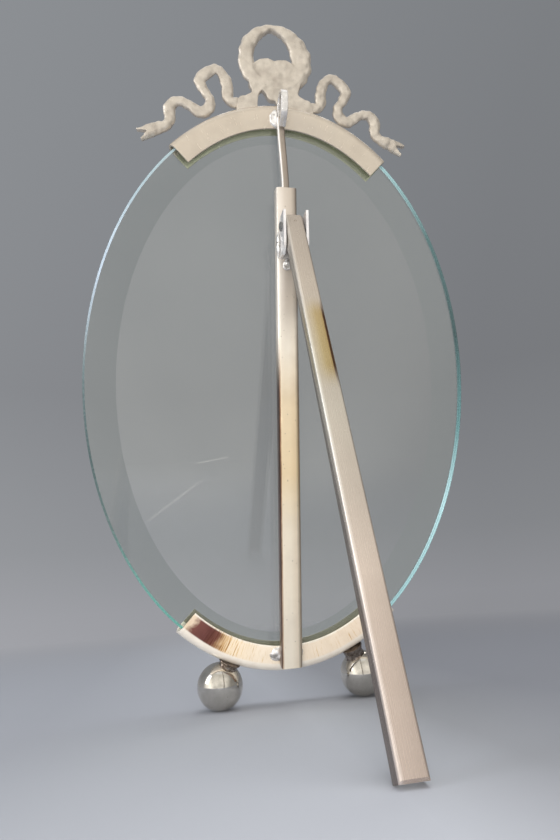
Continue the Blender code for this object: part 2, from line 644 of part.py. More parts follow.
def make_leg(material, hinge):
    """The leg, drawn straight down from the pin and turned out to its stop."""
    section = leg_section()
    bm = bmesh.new()
    loft(bm, [level_ring(section, -LEG_LENGTH), level_ring(section, LEG_ABOVE_PIN)])
    for side in (-1, 1):
        corner = (side * (LEG_WIDTH / 2 - LEG_TOP_CHAMFER), 0, LEG_ABOVE_PIN)
        trim(bm, corner, Vector((side, 0, 1)))
    trim(bm, (0, LEG_DEPTH / 2 - LEG_FOOT_CHAMFER, -LEG_LENGTH), Vector((0, 1, -1)))
    leg = add_piece("easel_leg", bm, material, hinge, rotation=(LEG_OPEN, 0, 0))
    drill(leg, "leg_hole", HINGE_PIN_RADIUS, 2 * LEG_WIDTH, hinge, (0, 0, 0))
    return leg


def make_bead(name, size, place, planes, material, parent):
    """One solder bead: a flattened ball, cut where it meets its neighbours."""
    bm = bmesh.new()
    bmesh.ops.create_uvsphere(bm, u_segments=12, v_segments=8, radius=1.0)
    bmesh.ops.scale(bm, vec=size, verts=bm.verts)
    bmesh.ops.translate(bm, vec=place, verts=bm.verts)
    for point, normal in planes:
        trim(bm, point, normal)
    return add_piece(name, bm, material, parent)


def make_side_beads(name, half_width, surface, height, sizes, material, parent):
    """A bead on each side of an upright piece, on the surface in front of it."""
    for side_name, side, size in (("left", -1, sizes[0]), ("right", 1, sizes[1])):
        flank = side * (half_width + SIDE_GAP)
        floor = surface + SIDE_GAP
        planes = [((flank, 0, 0), (-side, 0, 0)), ((0, floor, 0), (0, -1, 0))]
        make_bead(name + "_" + side_name, size, (flank, floor, height), planes, material, parent)


def make_hinge_beads(material, parent):
    """Solder on the tube: a run beside one ear and a drop under the bracket's base."""
    flank = HINGE_OFFSET + LEG_WIDTH / 2 + SEAT_GAP + EAR_THICKNESS + SIDE_GAP
    below = PIN_HEIGHT - EAR_BELOW_PIN - SIDE_GAP
    floor = ((0, BASE_FRONT, 0), (0, -1, 0))
    beside = [floor, ((flank, 0, 0), (-1, 0, 0))]
    make_bead("hinge_solder_side", BEAD_EAR, (flank, BASE_FRONT, PIN_HEIGHT - EAR_BELOW_PIN / 2), beside, material, parent)
    under = [floor, ((0, 0, below), (0, 0, 1))]
    place = (-HINGE_OFFSET / 4, BASE_FRONT, below - BEAD_STRIP[2] * 0.7)
    make_bead("hinge_solder_foot", BEAD_STRIP, place, under, material, parent)


def foot_place():
    """The edge of the leg's foot that stands on the floor: depth and height."""
    reach = Vector((-LEG_DEPTH / 2, -LEG_LENGTH))
    reach.rotate(Matrix.Rotation(LEG_OPEN, 2))
    return Vector((PIN_BACK, PIN_HEIGHT)) + reach


def lean_angle():
    """How far the frame leans back when its two balls and the leg's foot all touch the floor."""
    ball = ball_place(1)
    step = foot_place() - Vector((ball.y, ball.z))
    return math.atan2(step.y, step.x) + math.asin((BALL_RADIUS - BALL_FLAT) / step.length)


def build():
    clear_scene()
    satin = finish("satin_silver_plate", (0.62, 0.58, 0.52), 1.0, 0.38)
    polished = finish("polished_silver_plate", (0.80, 0.78, 0.75), 1.0, 0.12)
    cast = finish("cast_silver", (0.55, 0.51, 0.46), 1.0, 0.55)
    steel = finish("spring_steel", (0.45, 0.45, 0.46), 1.0, 0.35)
    brass = finish("brass_bush", (0.70, 0.55, 0.28), 1.0, 0.35)
    solder = finish("soft_solder", (0.66, 0.66, 0.67), 1.0, 0.3)
    clear = finish("clear_glass", (0.80, 0.90, 0.87), 0.0, 0.03, alpha=0.3)

    lean = lean_angle()
    ball = ball_place(1)
    foot = foot_place()
    front = ball.y * math.cos(lean) + ball.z * math.sin(lean) - BALL_RADIUS
    rear = foot.x * math.cos(lean) + foot.y * math.sin(lean) + LEG_DEPTH * math.cos(LEG_OPEN - lean)
    rise = BALL_RADIUS - BALL_FLAT - (ball.z * math.cos(lean) - ball.y * math.sin(lean))
    stand = add_empty("stand", location=(0, -(front + rear) / 2, rise), rotation=(-lean, 0, 0))
    spine = add_empty("spine", stand, (SPINE_OFFSET, 0, 0))
    hinge = add_empty("hinge", spine, (HINGE_OFFSET, PIN_BACK, PIN_HEIGHT), (0, LEG_SKEW, 0))
    slider = add_empty("slider", stand)
    rod_line = add_empty("rod_line", slider, (SPINE_OFFSET, 0, 0))
    crown = add_empty("crown", slider, (CROWN_OFFSET, 0, HALF_HEIGHT), (0, CROWN_TILT, 0))

    make_glass(clear, stand)
    make_mount("bottom_mount", math.pi - math.asin(BOTTOM_OFFSET / HALF_WIDTH), satin, stand)
    for side_name, side in (("left", -1), ("right", 1)):
        make_foot(side_name, side, lean, polished, stand)
    make_tube(satin, spine)
    make_guide(brass, spine)
    pin_between("spring_anchor_pin", ANCHOR_RADIUS, TUBE_WIDTH - 2 * PIN_GAP, steel, spine, anchor_place())
    make_spring(steel, spine)
    make_bracket(satin, hinge)
    make_hinge_pin(steel, hinge)
    make_leg(satin, hinge)

    make_mount("top_mount", 0.0, satin, slider)
    make_wreath(cast, crown)
    make_ribbon("ribbon_left", -1, cast, crown)
    make_ribbon("ribbon_right", 1, cast, crown)
    make_rod(satin, rod_line)
    pin_between("rod_spring_pin", ROD_PIN_RADIUS, ROD_WIDTH, steel, rod_line, rod_pin_place())
    make_loop(polished, slider)

    tube_bead = -(FLANGE_EDGE + BEAD_LONG[2])
    tube_beads = (BEAD_SMALL, BEAD_LONG)
    make_side_beads("tube_solder", TUBE_WIDTH / 2, MOUNT_BACK, tube_bead, tube_beads, solder, spine)
    loop_bead = ROD_TOP + SEAT_GAP
    loop_beads = (BEAD_SMALL, BEAD_LARGE)
    rod_top = add_empty("rod_top", rod_line, (ROD_SIDESTEP, 0, 0))
    make_side_beads("loop_solder", ROD_WIDTH / 2, MOUNT_BACK, loop_bead, loop_beads, solder, rod_top)
    make_hinge_beads(solder, spine)


build()
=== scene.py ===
"""Looks for the oval easel frame: finer pieces, real finishes, the stage, the light and the camera."""
import math
from functools import partial

import bmesh
import bpy
from mathutils import Matrix, Vector, noise


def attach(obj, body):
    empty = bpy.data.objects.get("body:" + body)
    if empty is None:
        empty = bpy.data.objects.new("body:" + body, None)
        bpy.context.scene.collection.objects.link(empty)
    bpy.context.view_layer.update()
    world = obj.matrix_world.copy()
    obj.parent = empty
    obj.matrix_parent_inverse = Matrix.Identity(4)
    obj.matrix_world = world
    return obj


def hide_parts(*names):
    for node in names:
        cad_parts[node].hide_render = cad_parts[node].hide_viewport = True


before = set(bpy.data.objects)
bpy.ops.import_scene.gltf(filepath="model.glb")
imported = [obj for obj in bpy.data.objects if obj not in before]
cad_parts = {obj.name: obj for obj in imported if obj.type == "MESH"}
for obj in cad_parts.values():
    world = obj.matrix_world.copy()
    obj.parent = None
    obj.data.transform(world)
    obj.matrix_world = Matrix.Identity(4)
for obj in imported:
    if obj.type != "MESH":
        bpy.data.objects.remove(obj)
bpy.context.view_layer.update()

MM = 0.001

# Glass
HALF_WIDTH = 65 * MM
HALF_HEIGHT = 93.5 * MM
GLASS_THICKNESS = 6 * MM
GLASS_RIM = 3.4 * MM
BEVEL_WIDTH = 10 * MM
ARRIS = 1.3 * MM
ARRIS_UNEVEN = 0.4
SCRATCH_WIDTH = 0.11 * MM

# Channel mounts
WALL = 0.8 * MM
LIP = 0.22 * MM
FLANGE = 7 * MM
FLANGE_END = -1.5 * MM
BULGE = 3.6 * MM
MOUNT_BACK = 1.6 * MM
MOUNT_FRONT = -6.32 * MM
MOUNT_MIDDLE = (MOUNT_BACK + MOUNT_FRONT) / 2
MOUNT_HALF_DEPTH = (MOUNT_BACK - MOUNT_FRONT) / 2
MOUNT_HALF_SPAN = 36 * MM
MOUNT_END_ANGLE = math.asin(MOUNT_HALF_SPAN / HALF_WIDTH)
MOUNT_CURVE = 75 * MM
BOTTOM_SIDESTEP = -1.2 * MM
BOTTOM_ANGLE = math.pi - math.asin(BOTTOM_SIDESTEP / HALF_WIDTH)

# Feet
BALL_RADIUS = 7.5 * MM
BALL_FLAT = 0.2 * MM
FEET = {"left": Vector((-26.4 * MM, -1 * MM, -98.7325 * MM)), "right": Vector((22.4 * MM, -1 * MM, -98.7325 * MM))}
FOOT_ANGLES = {"left": 3.484812613, "right": 2.85282955}
COLLAR_RADIUS = 3.6 * MM
COLLAR_SEAT = 0.5 * MM
COLLAR_IN_BALL = 1.2 * MM

# Tube, rod and hanging eye
TUBE_WIDTH = 6.9 * MM
TUBE_DEPTH = 4.6 * MM
TUBE_WALL = 0.6 * MM
TUBE_CORNER = 1.0 * MM
TUBE_MIDDLE = 4.2 * MM
TUBE_FACE = 6.5 * MM
TUBE_TOP = 64.6 * MM
TUBE_BOTTOM = -92 * MM
ROD_WIDTH = 2.4 * MM
ROD_DEPTH = 2.2 * MM
ROD_CORNER = 0.5 * MM
ROD_BOTTOM = -13.4 * MM
ROD_BEND = TUBE_TOP + 1.5 * MM
ROD_BEND_END = 86.2 * MM
ROD_TOP = 89.3 * MM
ROD_SEAT = 3.0 * MM
ROD_SIDESTEP = 1.1 * MM
EYE_WIDTH = 2.2 * MM
EYE_STRIP = 0.9 * MM
EYE_RADIUS = 3.6 * MM
EYE_RISE = 3 * MM
EYE_DROP = 7 * MM
EYE_GAP = 0.3 * MM
EYE_SIDESTEP = 0.5 * MM

# Leg and hinge, drawn about the hinge pin
LEG_LENGTH = 151.3 * MM
LEG_TOP = 3.5 * MM
LEG_WIDTH = 5.9 * MM
LEG_DEPTH = 4 * MM
LEG_WALL = 0.8 * MM
LEG_CORNER = 0.7 * MM
PIN_BACK = 11.45 * MM
PIN_RADIUS = 0.9 * MM
HOLE_CLEARANCE = 0.1 * MM
EAR_THICKNESS = 0.8 * MM
EAR_INSIDE = LEG_WIDTH / 2 + 0.3 * MM
EAR_OUTSIDE = EAR_INSIDE + EAR_THICKNESS
EAR_TIP = 3.3 * MM
BRACKET_ABOVE = 4.4 * MM
BRACKET_BELOW = 9 * MM
SOLDER_GAP = 0.15 * MM
HINGE_HEIGHT = 49.8 * MM
HINGE_SIDESTEP = -1.2 * MM

# Crown
CROWN_MIDDLE = -3.9 * MM
CROWN_HALF_DEPTH = 1.2 * MM
CROWN_SIDESTEP = 1.1 * MM
CROWN_TILT = math.radians(1.2)
CROWN_GAP = 0.3 * MM
WREATH_HEIGHT = 19.4 * MM
WREATH_RADIUS = 12.6 * MM
WREATH_HOLE = 6.2 * MM
WREATH_TIP = 2.5 * MM
BOW_HALF = [(0, 18.6), (3.2, 19.4), (6.2, 18.2), (8.8, 14.6), (9.0, 10.6), (8.0, 7.8), (9.8, 6.2), (12.0, 5.6),
            (13.2, 4.2), (13.4, 2.2)]
ARCH = [(6.2, 4.6), (5.7, 6.8), (4.6, 8.3), (3.5, 7.4), (2.6, 5.8), (1.3, 5.0), (0, 4.8)]
RIBBON_PATH = [(11.4, 3.7), (13.5, 3.6), (15.2, 3.9), (16.3, 5.6), (16.4, 8.8), (17.4, 12.2), (19.9, 14.7),
               (23.1, 13.2), (25.6, 10.3), (24.3, 7.1), (22.5, 4.2), (23.0, 1.0), (25.9, -0.4), (29.7, 1.9),
               (33.7, 2.6), (36.1, 0.0), (35.9, -3.3), (37.4, -5.7), (40.6, -7.0), (46.2, -9.4)]
RIBBON_WAVES = 5
RIBBON_WIDTH = 3.6 * MM
TAIL_WIDTH = 4.6 * MM
SKIN = 0.2 * MM

# Spacing of the dark specks in old plate, and of the patches that they keep to
PIT_SPACING = 1.3 * MM
PIT_PATCH = 2.4 * MM

# The least angle of an edge that was sawn or sheared, and then filed
CUT_EDGE = math.radians(70)

# Places: the whole frame leans back on its feet, and the other groups ride on it
LEAN = math.radians(16.91124438)
HINGE_TURN = math.radians(0.66)
LEG_OPEN = math.radians(33.2)
STAND = Matrix.Translation((0, -0.01631013, 0.10147204)) @ Matrix.Rotation(-LEAN, 4, "X")
SPINE = STAND @ Matrix.Translation((-0.4 * MM, 0, 0))
HINGE = SPINE @ Matrix.Translation((HINGE_SIDESTEP, PIN_BACK, HINGE_HEIGHT)) @ Matrix.Rotation(HINGE_TURN, 4, "Y")
LEG = HINGE @ Matrix.Rotation(LEG_OPEN, 4, "X")
CROWN = STAND @ Matrix.Translation((CROWN_SIDESTEP, 0, HALF_HEIGHT)) @ Matrix.Rotation(CROWN_TILT, 4, "Y")


# Settings that many shader nodes share, and the range in which most of a noise's values lie
TIMES = {"data_type": "RGBA", "blend_type": "MULTIPLY"}
BLEND = {"data_type": "RGBA"}
GENTLE = {"interpolation_type": "SMOOTHSTEP"}
NOISE_RANGE = {"From Min": 0.3, "From Max": 0.7}
WHITE = "#ffffff"


def colour(code):
    """An sRGB hex colour as linear values."""
    parts = [int(code[i:i + 2], 16) / 255 for i in (1, 3, 5)]
    return (*[v / 12.92 if v <= 0.04045 else ((v + 0.055) / 1.055) ** 2.4 for v in parts], 1.0)


def node(tree, kind, inputs=None, stops=None, **settings):
    """Add one shader node. Its inputs are values, sockets or nodes, which give their first output.

    Stops are a ramp's places and colours, and settings are the node's own.
    """
    made = tree.nodes.new("ShaderNode" + kind)
    for name, value in settings.items():
        setattr(made, name, value)
    for name, value in (inputs or {}).items():
        if isinstance(value, bpy.types.Node):
            value = value.outputs[0]
        if isinstance(value, bpy.types.NodeSocket):
            tree.links.new(value, made.inputs[name])
        else:
            made.inputs[name].default_value = value
    if stops:
        elements = made.color_ramp.elements
        while len(elements) < len(stops):
            elements.new(0.5)
        for element, (place, code) in zip(elements, stops):
            element.position = place
            element.color = colour(code)
    return made


def new_material(name):
    """An empty material, and the call that adds a node to it."""
    made = bpy.data.materials.new(name)
    made.use_nodes = True
    made.node_tree.nodes.clear()
    return made, partial(node, made.node_tree)


def plated_metal(name, stops, roughness, line_size, line_depth, patch=9.0, speck=0.0, metallic=1.0,
                 streaks=(0.95, 1.02)):
    """Plated brass: brush lines along the piece, cloudy tarnish and a few dark specks.

    A line's width, length and depth and a cloud's size are in millimetres. Streaks say how far the lines darken and
    lighten the colour.
    """
    made, add = new_material(name)
    grain = add("Attribute", attribute_name="grain").outputs["Vector"]
    across, along = line_size
    spread = add("Mapping", {"Vector": grain, "Scale": (1 / (across * MM), 1 / (across * MM), 1 / (along * MM))})
    lines = add("TexNoise", {"Vector": spread, "Scale": 1.0, "Detail": 3.0, "Roughness": 0.65})
    cloud = add("TexNoise", {"Vector": grain, "Scale": 1 / (patch * MM), "Detail": 4.0, "Roughness": 0.6})
    tint = add("ValToRGB", {"Fac": cloud}, stops=stops)
    streak = add("MapRange", {"Value": lines, **NOISE_RANGE, "To Min": streaks[0], "To Max": streaks[1]})
    shade = add("Mix", {0: 1.0, 6: tint, 7: streak}, **TIMES)
    pits = add("TexVoronoi", {"Vector": grain, "Scale": 1 / PIT_SPACING})
    chance = add("TexNoise", {"Vector": grain, "Scale": 1 / PIT_PATCH, "Detail": 1.0})
    near = add("Math", {0: pits.outputs["Distance"], 1: 0.14}, operation="LESS_THAN")
    rare = add("Math", {0: chance, 1: 0.56}, operation="GREATER_THAN")
    dots = add("Math", {0: near, 1: rare}, operation="MULTIPLY")
    amount = add("Math", {0: dots, 1: speck}, operation="MULTIPLY")
    base = add("Mix", {0: amount, 6: shade.outputs[2], 7: colour("#3a322c")}, **BLEND)
    low, high = roughness
    rough = add("MapRange", {"Value": lines, **NOISE_RANGE, "To Min": low, "To Max": high})
    bump = add("Bump", {"Height": lines, "Strength": 0.4, "Distance": line_depth * MM})
    shader = add("BsdfPrincipled", {"Base Color": base.outputs[2], "Metallic": metallic, "Roughness": rough,
                                    "Normal": bump})
    add("OutputMaterial", {"Surface": shader})
    return made


def lay_over(made, parts, tone, only, settings):
    """Multiply a tone into a piece's colour.

    Each entry of only keeps it to one side of a place, in millimetres: axis, where it starts and where it is full.
    """
    tree = made.node_tree
    add = partial(node, tree)
    shader = next(n for n in tree.nodes if n.bl_idname == "ShaderNodeBsdfPrincipled")
    under = shader.inputs["Base Color"].links[0].from_socket
    amount = 1.0
    for side, start, full in only:
        near = add("MapRange", {"Value": parts.outputs[side], "From Min": start * MM, "From Max": full * MM},
                   **settings)
        amount = add("Math", {0: near, 1: amount}, operation="MULTIPLY")
    laid = add("Mix", {0: amount, 6: under, 7: tone}, **TIMES)
    tree.links.new(laid.outputs[2], shader.inputs["Base Color"])


def stain(made, axis, low, high, stops, only=(), wander=2.0):
    """Tarnish or a worn tone along one of a piece's own axes, in millimetres, with an edge that wanders."""
    add = partial(node, made.node_tree)
    grain = add("Attribute", attribute_name="grain").outputs["Vector"]
    parts = add("SeparateXYZ", {0: grain})
    drift = add("TexNoise", {"Vector": grain, "Scale": 1 / (4 * MM), "Detail": 3.0, "Roughness": 0.6})
    shift = add("MapRange", {"Value": drift, "To Min": -wander * MM, "To Max": wander * MM})
    place = add("Math", {0: parts.outputs[axis], 1: shift}, operation="ADD")
    along = add("MapRange", {"Value": place, "From Min": low * MM, "From Max": high * MM})
    lay_over(made, parts, add("ValToRGB", {"Fac": along}, stops=stops), only, GENTLE)


def streaks_across(made, low, high, fine, colours, only):
    """Fine lines across a piece where a polishing wheel cut through the plate, densest at the low end.

    The ends and the lines' spacing are in millimetres.
    """
    add = partial(node, made.node_tree)
    grain = add("Attribute", attribute_name="grain").outputs["Vector"]
    parts = add("SeparateXYZ", {0: grain})
    thin = add("Mapping", {"Vector": grain, "Scale": (1 / (6 * MM), 1 / (6 * MM), 1 / (fine * MM))})
    lines = add("TexNoise", {"Vector": thin, "Scale": 1.0, "Detail": 2.0, "Roughness": 0.7})
    near = add("MapRange", {"Value": parts.outputs["Z"], "From Min": low * MM, "From Max": high * MM, "To Max": 0.16})
    level = add("Math", {0: lines, 1: near}, operation="SUBTRACT")
    tone = add("ValToRGB", {"Fac": level}, stops=[(0.45, WHITE), (0.52, colours[0]), (0.62, colours[1])])
    lay_over(made, parts, tone, only, {})


def cast_metal(name):
    """Sand-cast white metal under thin plate: a dull grainy skin, warm where it has worn, bright on a few grains."""
    made, add = new_material(name)
    spot = add("TexCoord").outputs["Object"]
    cloud = add("TexNoise", {"Vector": spot, "Scale": 1 / (5.0 * MM), "Detail": 5.0, "Roughness": 0.6})
    tint = add("ValToRGB", {"Fac": cloud},
               stops=[(0.28, "#bdb4aa"), (0.46, "#cbc3b8"), (0.6, "#d6cec3"), (0.76, "#c5bdb2")])
    sand = add("TexNoise", {"Vector": spot, "Scale": 1 / (0.35 * MM), "Detail": 3.0, "Roughness": 0.7})
    lump = add("TexNoise", {"Vector": spot, "Scale": 1 / (2.2 * MM), "Detail": 3.0})
    hollow = add("MapRange", {"Value": lump, "From Min": 0.3, "From Max": 0.6, "To Min": 0.95, "To Max": 1.03})
    shade = add("Mix", {0: 1.0, 6: tint, 7: hollow}, **TIMES)
    glint = add("MapRange", {"Value": sand, "From Min": 0.6, "From Max": 0.72, "To Min": 0.44, "To Max": 0.2})
    height = add("Math", {0: sand, 1: 0.35, 2: lump}, operation="MULTIPLY_ADD")
    bump = add("Bump", {"Height": height, "Strength": 0.35, "Distance": 0.12 * MM})
    shader = add("BsdfPrincipled", {"Base Color": shade.outputs[2], "Metallic": 0.75, "Roughness": glint,
                                    "Normal": bump})
    add("OutputMaterial", {"Surface": shader})
    return made


def soft_solder(name):
    """Tin solder that ran and froze smooth: bright, with a few dull grey hollows."""
    made, add = new_material(name)
    spot = add("TexCoord").outputs["Object"]
    waves = add("TexNoise", {"Vector": spot, "Scale": 1 / (1.5 * MM), "Detail": 3.0, "Roughness": 0.5})
    tint = add("ValToRGB", {"Fac": waves}, stops=[(0.3, "#9b9896"), (0.48, "#e6e4e2"), (0.6, WHITE)])
    rough = add("MapRange", {"Value": waves, "From Min": 0.35, "From Max": 0.65, "To Min": 0.34, "To Max": 0.16})
    bump = add("Bump", {"Height": waves, "Strength": 0.5, "Distance": 0.25 * MM})
    shader = add("BsdfPrincipled", {"Base Color": tint, "Metallic": 0.7, "Roughness": rough, "Normal": bump})
    add("OutputMaterial", {"Surface": shader})
    return made


def plate_glass(name, tint, haze, scratches=()):
    """Soda-lime plate glass: clear, with a thin film of dust that also stands in for a faint veil of reflected light,
    and a few fine scratches that catch the light.

    Each scratch is a place on the glass, across and up, its length and its slope, in millimetres and degrees.
    """
    made, add = new_material(name)
    spot = add("Attribute", attribute_name="grain").outputs["Vector"]
    cloud = add("TexNoise", {"Vector": spot, "Scale": 1 / (38 * MM), "Detail": 2.0, "Roughness": 0.6})
    amount = add("MapRange", {"Value": cloud, **NOISE_RANGE, "To Min": 0.5 * haze, "To Max": haze})
    for across, up, length, slope in scratches:
        turned = add("Mapping", {"Vector": spot, "Location": (across * MM, 0, up * MM),
                                 "Rotation": (0, -math.radians(slope), 0), "Scale": (length * MM, 1, SCRATCH_WIDTH)},
                     vector_type="TEXTURE")
        bow = add("SeparateXYZ", {0: turned})
        beside = add("Math", {0: bow.outputs["Z"]}, operation="ABSOLUTE")
        line = add("MapRange", {"Value": beside, "From Min": 1.0, "From Max": 0.3, "To Max": 0.13})
        middle = add("Math", {0: bow.outputs["X"], 1: 0.5}, operation="SUBTRACT")
        ends = add("Math", {0: middle}, operation="ABSOLUTE")
        inside = add("MapRange", {"Value": ends, "From Min": 0.5, "From Max": 0.4})
        amount = add("Math", {0: line, 1: inside, 2: amount}, operation="MULTIPLY_ADD")
    shader = add("BsdfPrincipled", {"Base Color": colour(tint), "Roughness": 0.0, "IOR": 1.56,
                                    "Transmission Weight": 1.0})
    # Dust, which also stands in for a faint veil of reflected light
    dust_and_veil = add("BsdfDiffuse", {"Color": colour("#f1f1ec")})
    seen = add("MixShader", {0: amount, 1: shader, 2: dust_and_veil})
    clear = add("BsdfTransparent", {"Color": colour(tint)})
    path = add("LightPath")
    either = add("MixShader", {0: path.outputs["Is Shadow Ray"], 1: seen, 2: clear})
    add("OutputMaterial", {"Surface": either})
    return made


def glass_rim(name):
    """The ground and polished rim, where the iron of plate glass gathers into an aqua line.
    Painted reflections change its tone with height and side and make it brightest low down, and painted highlights
    run along it in white lines.
    """
    made, add = new_material(name)
    spot = add("Attribute", attribute_name="grain").outputs["Vector"]
    parts = add("SeparateXYZ", {0: spot})
    height = add("MapRange", {"Value": parts.outputs["Z"], "From Min": -HALF_HEIGHT, "From Max": HALF_HEIGHT})
    # Painted reflections: the rim's tone changes with height, one way on each side
    right = add("ValToRGB", {"Fac": height},
                stops=[(0.0, "#a9d8dd"), (0.28, "#d0f6ff"), (0.42, "#739da2"), (0.6, "#4c6063"), (0.78, "#5f7a7d"),
                       (0.92, "#a9ccd4")])
    left = add("ValToRGB", {"Fac": height},
               stops=[(0.05, "#6fb3a8"), (0.16, "#709f98"), (0.26, "#657675"), (0.38, "#4f5f60"), (0.56, "#66757a"),
                      (0.7, "#a3b2c6"), (0.95, "#a6b8be")])
    side = add("MapRange", {"Value": parts.outputs["X"], "From Min": -10 * MM, "From Max": 10 * MM})
    tint = add("Mix", {0: side, 6: right, 7: left}, **BLEND)
    depth = add("MapRange", {"Value": parts.outputs["Y"], "From Min": 0.0, "From Max": -ARRIS / 2})
    # Painted highlights: white lines across the rim near the arris
    lines = add("ValToRGB", {"Fac": depth},
                stops=[(0.0, "#c9dedb"), (0.12, WHITE), (0.3, WHITE), (0.42, "#b4cdca"), (0.54, "#f4ffff"),
                       (0.8, WHITE), (1.0, "#c4dad7")])
    tint = add("Mix", {0: 0.9, 6: tint.outputs[2], 7: lines}, **TIMES)
    chips = add("TexNoise", {"Vector": spot, "Scale": 1 / (1.5 * MM), "Detail": 3.0})
    frost = add("MapRange", {"Value": chips, **NOISE_RANGE, "To Min": 0.15, "To Max": 0.35})
    shader = add("BsdfPrincipled", {"Base Color": tint.outputs[2], "Roughness": frost, "IOR": 1.52,
                                    "Transmission Weight": 0.15})
    add("OutputMaterial", {"Surface": shader})
    return made


def rim_point(angle, out=0.0):
    """A point beside the glass's rim, at an angle from its top, this far out along the rim's normal."""
    across = Vector((math.sin(angle) / HALF_WIDTH, math.cos(angle) / HALF_HEIGHT)).normalized()
    return Vector((HALF_WIDTH * math.sin(angle), HALF_HEIGHT * math.cos(angle))) + across * out


def arc(centre, radii, start, end, steps):
    """Points along part of an ellipse."""
    angles = [start + (end - start) * i / steps for i in range(steps + 1)]
    return [(centre[0] + radii[0] * math.cos(a), centre[1] + radii[1] * math.sin(a)) for a in angles]


def rounded_rectangle(width, depth, corner, steps=8):
    """The outline of a bar or tube with round corners."""
    outline = []
    for quarter, (across, along) in enumerate([(1, 1), (-1, 1), (-1, -1), (1, -1)]):
        centre = (across * (width / 2 - corner), along * (depth / 2 - corner))
        outline += arc(centre, (corner, corner), quarter * math.pi / 2, (quarter + 1) * math.pi / 2, steps)
    return outline


def smooth_path(points, steps):
    """A Catmull-Rom curve through the points."""
    ends = [2 * points[0] - points[1]] + points + [2 * points[-1] - points[-2]]
    path = []
    for a, b, c, d in zip(ends, ends[1:], ends[2:], ends[3:]):
        for i in range(steps):
            t = i / steps
            path.append(0.5 * (2 * b + (c - a) * t + (2 * a - 5 * b + 4 * c - d) * t * t
                               + (3 * b - a - 3 * c + d) * t ** 3))
    return path + [points[-1]]


def side_of(path, i):
    """The direction square to a flat path at one of its points."""
    ahead = path[min(i + 1, len(path) - 1)] - path[max(i - 1, 0)]
    return Vector((-ahead.y, ahead.x)).normalized()


def draw_out(bm, ring, places):
    """Extrude a ring of edges and set the new ring in its places."""
    count = len(ring)
    edges = [bm.edges.get((ring[i], ring[(i + 1) % count])) for i in range(count)]
    made = bmesh.ops.extrude_edge_only(bm, edges=edges)["geom"]
    fresh = {item for item in made if isinstance(item, bmesh.types.BMVert)}
    following = [next(e.other_vert(v) for e in v.link_edges if e.other_vert(v) in fresh) for v in ring]
    for vert, place in zip(following, places):
        vert.co = place
    return following


def sweep(rings, grains=None, closed=False):
    """A skin drawn through rings of points. Each point keeps its place along the piece for the brush lines."""
    bm = bmesh.new()
    layer = bm.verts.layers.float_vector.new("grain")
    grains = grains or rings
    ring = [bm.verts.new(place) for place in rings[0]]
    for i, vert in enumerate(ring):
        vert[layer] = grains[0][i]
        bm.edges.new((vert, ring[(i + 1) % len(ring)]))
    if not closed:
        bm.faces.new(ring)
    for places, marks in zip(rings[1:], grains[1:]):
        ring = draw_out(bm, ring, places)
        for vert, mark in zip(ring, marks):
            vert[layer] = mark
    if closed:
        draw_out(bm, ring, rings[0])
        bmesh.ops.remove_doubles(bm, verts=bm.verts, dist=0.0001 * MM)
    else:
        bm.faces.new(ring)
    return bm


def turn_round(bm, profile, axis, steps):
    """Turn a profile of points once round an axis, as a lathe does."""
    edges = [bm.edges.new(pair) for pair in zip(profile, profile[1:])]
    bmesh.ops.spin(bm, geom=profile + edges, cent=(0, 0, 0), axis=axis, angle=math.tau, steps=steps, use_merge=True)


def soften(bm, size, angle=math.radians(50)):
    """Round the sharp edges a little, as filing and plating leave them."""
    bmesh.ops.recalc_face_normals(bm, faces=bm.faces)
    edges = [e for e in bm.edges if len(e.link_faces) == 2 and e.calc_face_angle() > angle]
    bmesh.ops.bevel(bm, geom=edges, offset=size, offset_type="OFFSET", segments=2, profile=0.5, affect="EDGES",
                    clamp_overlap=True, material=-1)


def trim(bm, point, normal):
    """Cut away what lies beyond a plane and close the cut."""
    everything = bm.verts[:] + bm.edges[:] + bm.faces[:]
    bmesh.ops.bisect_plane(bm, geom=everything, dist=0.0001 * MM, plane_co=point, plane_no=normal, clear_outer=True)
    bmesh.ops.holes_fill(bm, edges=[edge for edge in bm.edges if edge.is_boundary])


def ripple(bm, size, depth, seed):
    """Push the skin in and out along its normals by smooth noise, as a rough casting or solder has."""
    bm.normal_update()
    shifts = [(v, v.normal * noise.noise(v.co / size + Vector((seed, seed, seed))) * depth) for v in bm.verts]
    for vert, shift in shifts:
        vert.co += shift


def pin_hole(length):
    """The drill for the hinge pin's holes."""
    radius = PIN_RADIUS + HOLE_CLEARANCE
    bm = bmesh.new()
    bmesh.ops.create_cone(bm, cap_ends=True, segments=32, radius1=radius, radius2=radius, depth=length)
    bmesh.ops.rotate(bm, cent=(0, 0, 0), matrix=Matrix.Rotation(math.pi / 2, 3, "Y"), verts=bm.verts)
    return bm


def add_piece(name, bm, place, body, materials, replaced=(), sharp=35):
    """Make a bmesh one finished piece: in place, with its normals out, on its body, for its nodes."""
    layer = bm.verts.layers.float_vector.get("grain")
    if layer is None:
        layer = bm.verts.layers.float_vector.new("grain")
        for vert in bm.verts:
            vert[layer] = vert.co
    bmesh.ops.recalc_face_normals(bm, faces=bm.faces)
    bmesh.ops.transform(bm, matrix=place, verts=bm.verts)
    mesh = bpy.data.meshes.new(name)
    bm.to_mesh(mesh)
    bm.free()
    mesh.shade_smooth()
    mesh.set_sharp_from_angle(angle=math.radians(sharp))
    for material in materials:
        mesh.materials.append(material)
    piece = bpy.data.objects.new(name, mesh)
    bpy.context.scene.collection.objects.link(piece)
    if body:
        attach(piece, body)
    if replaced:
        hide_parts(*replaced)
    return piece


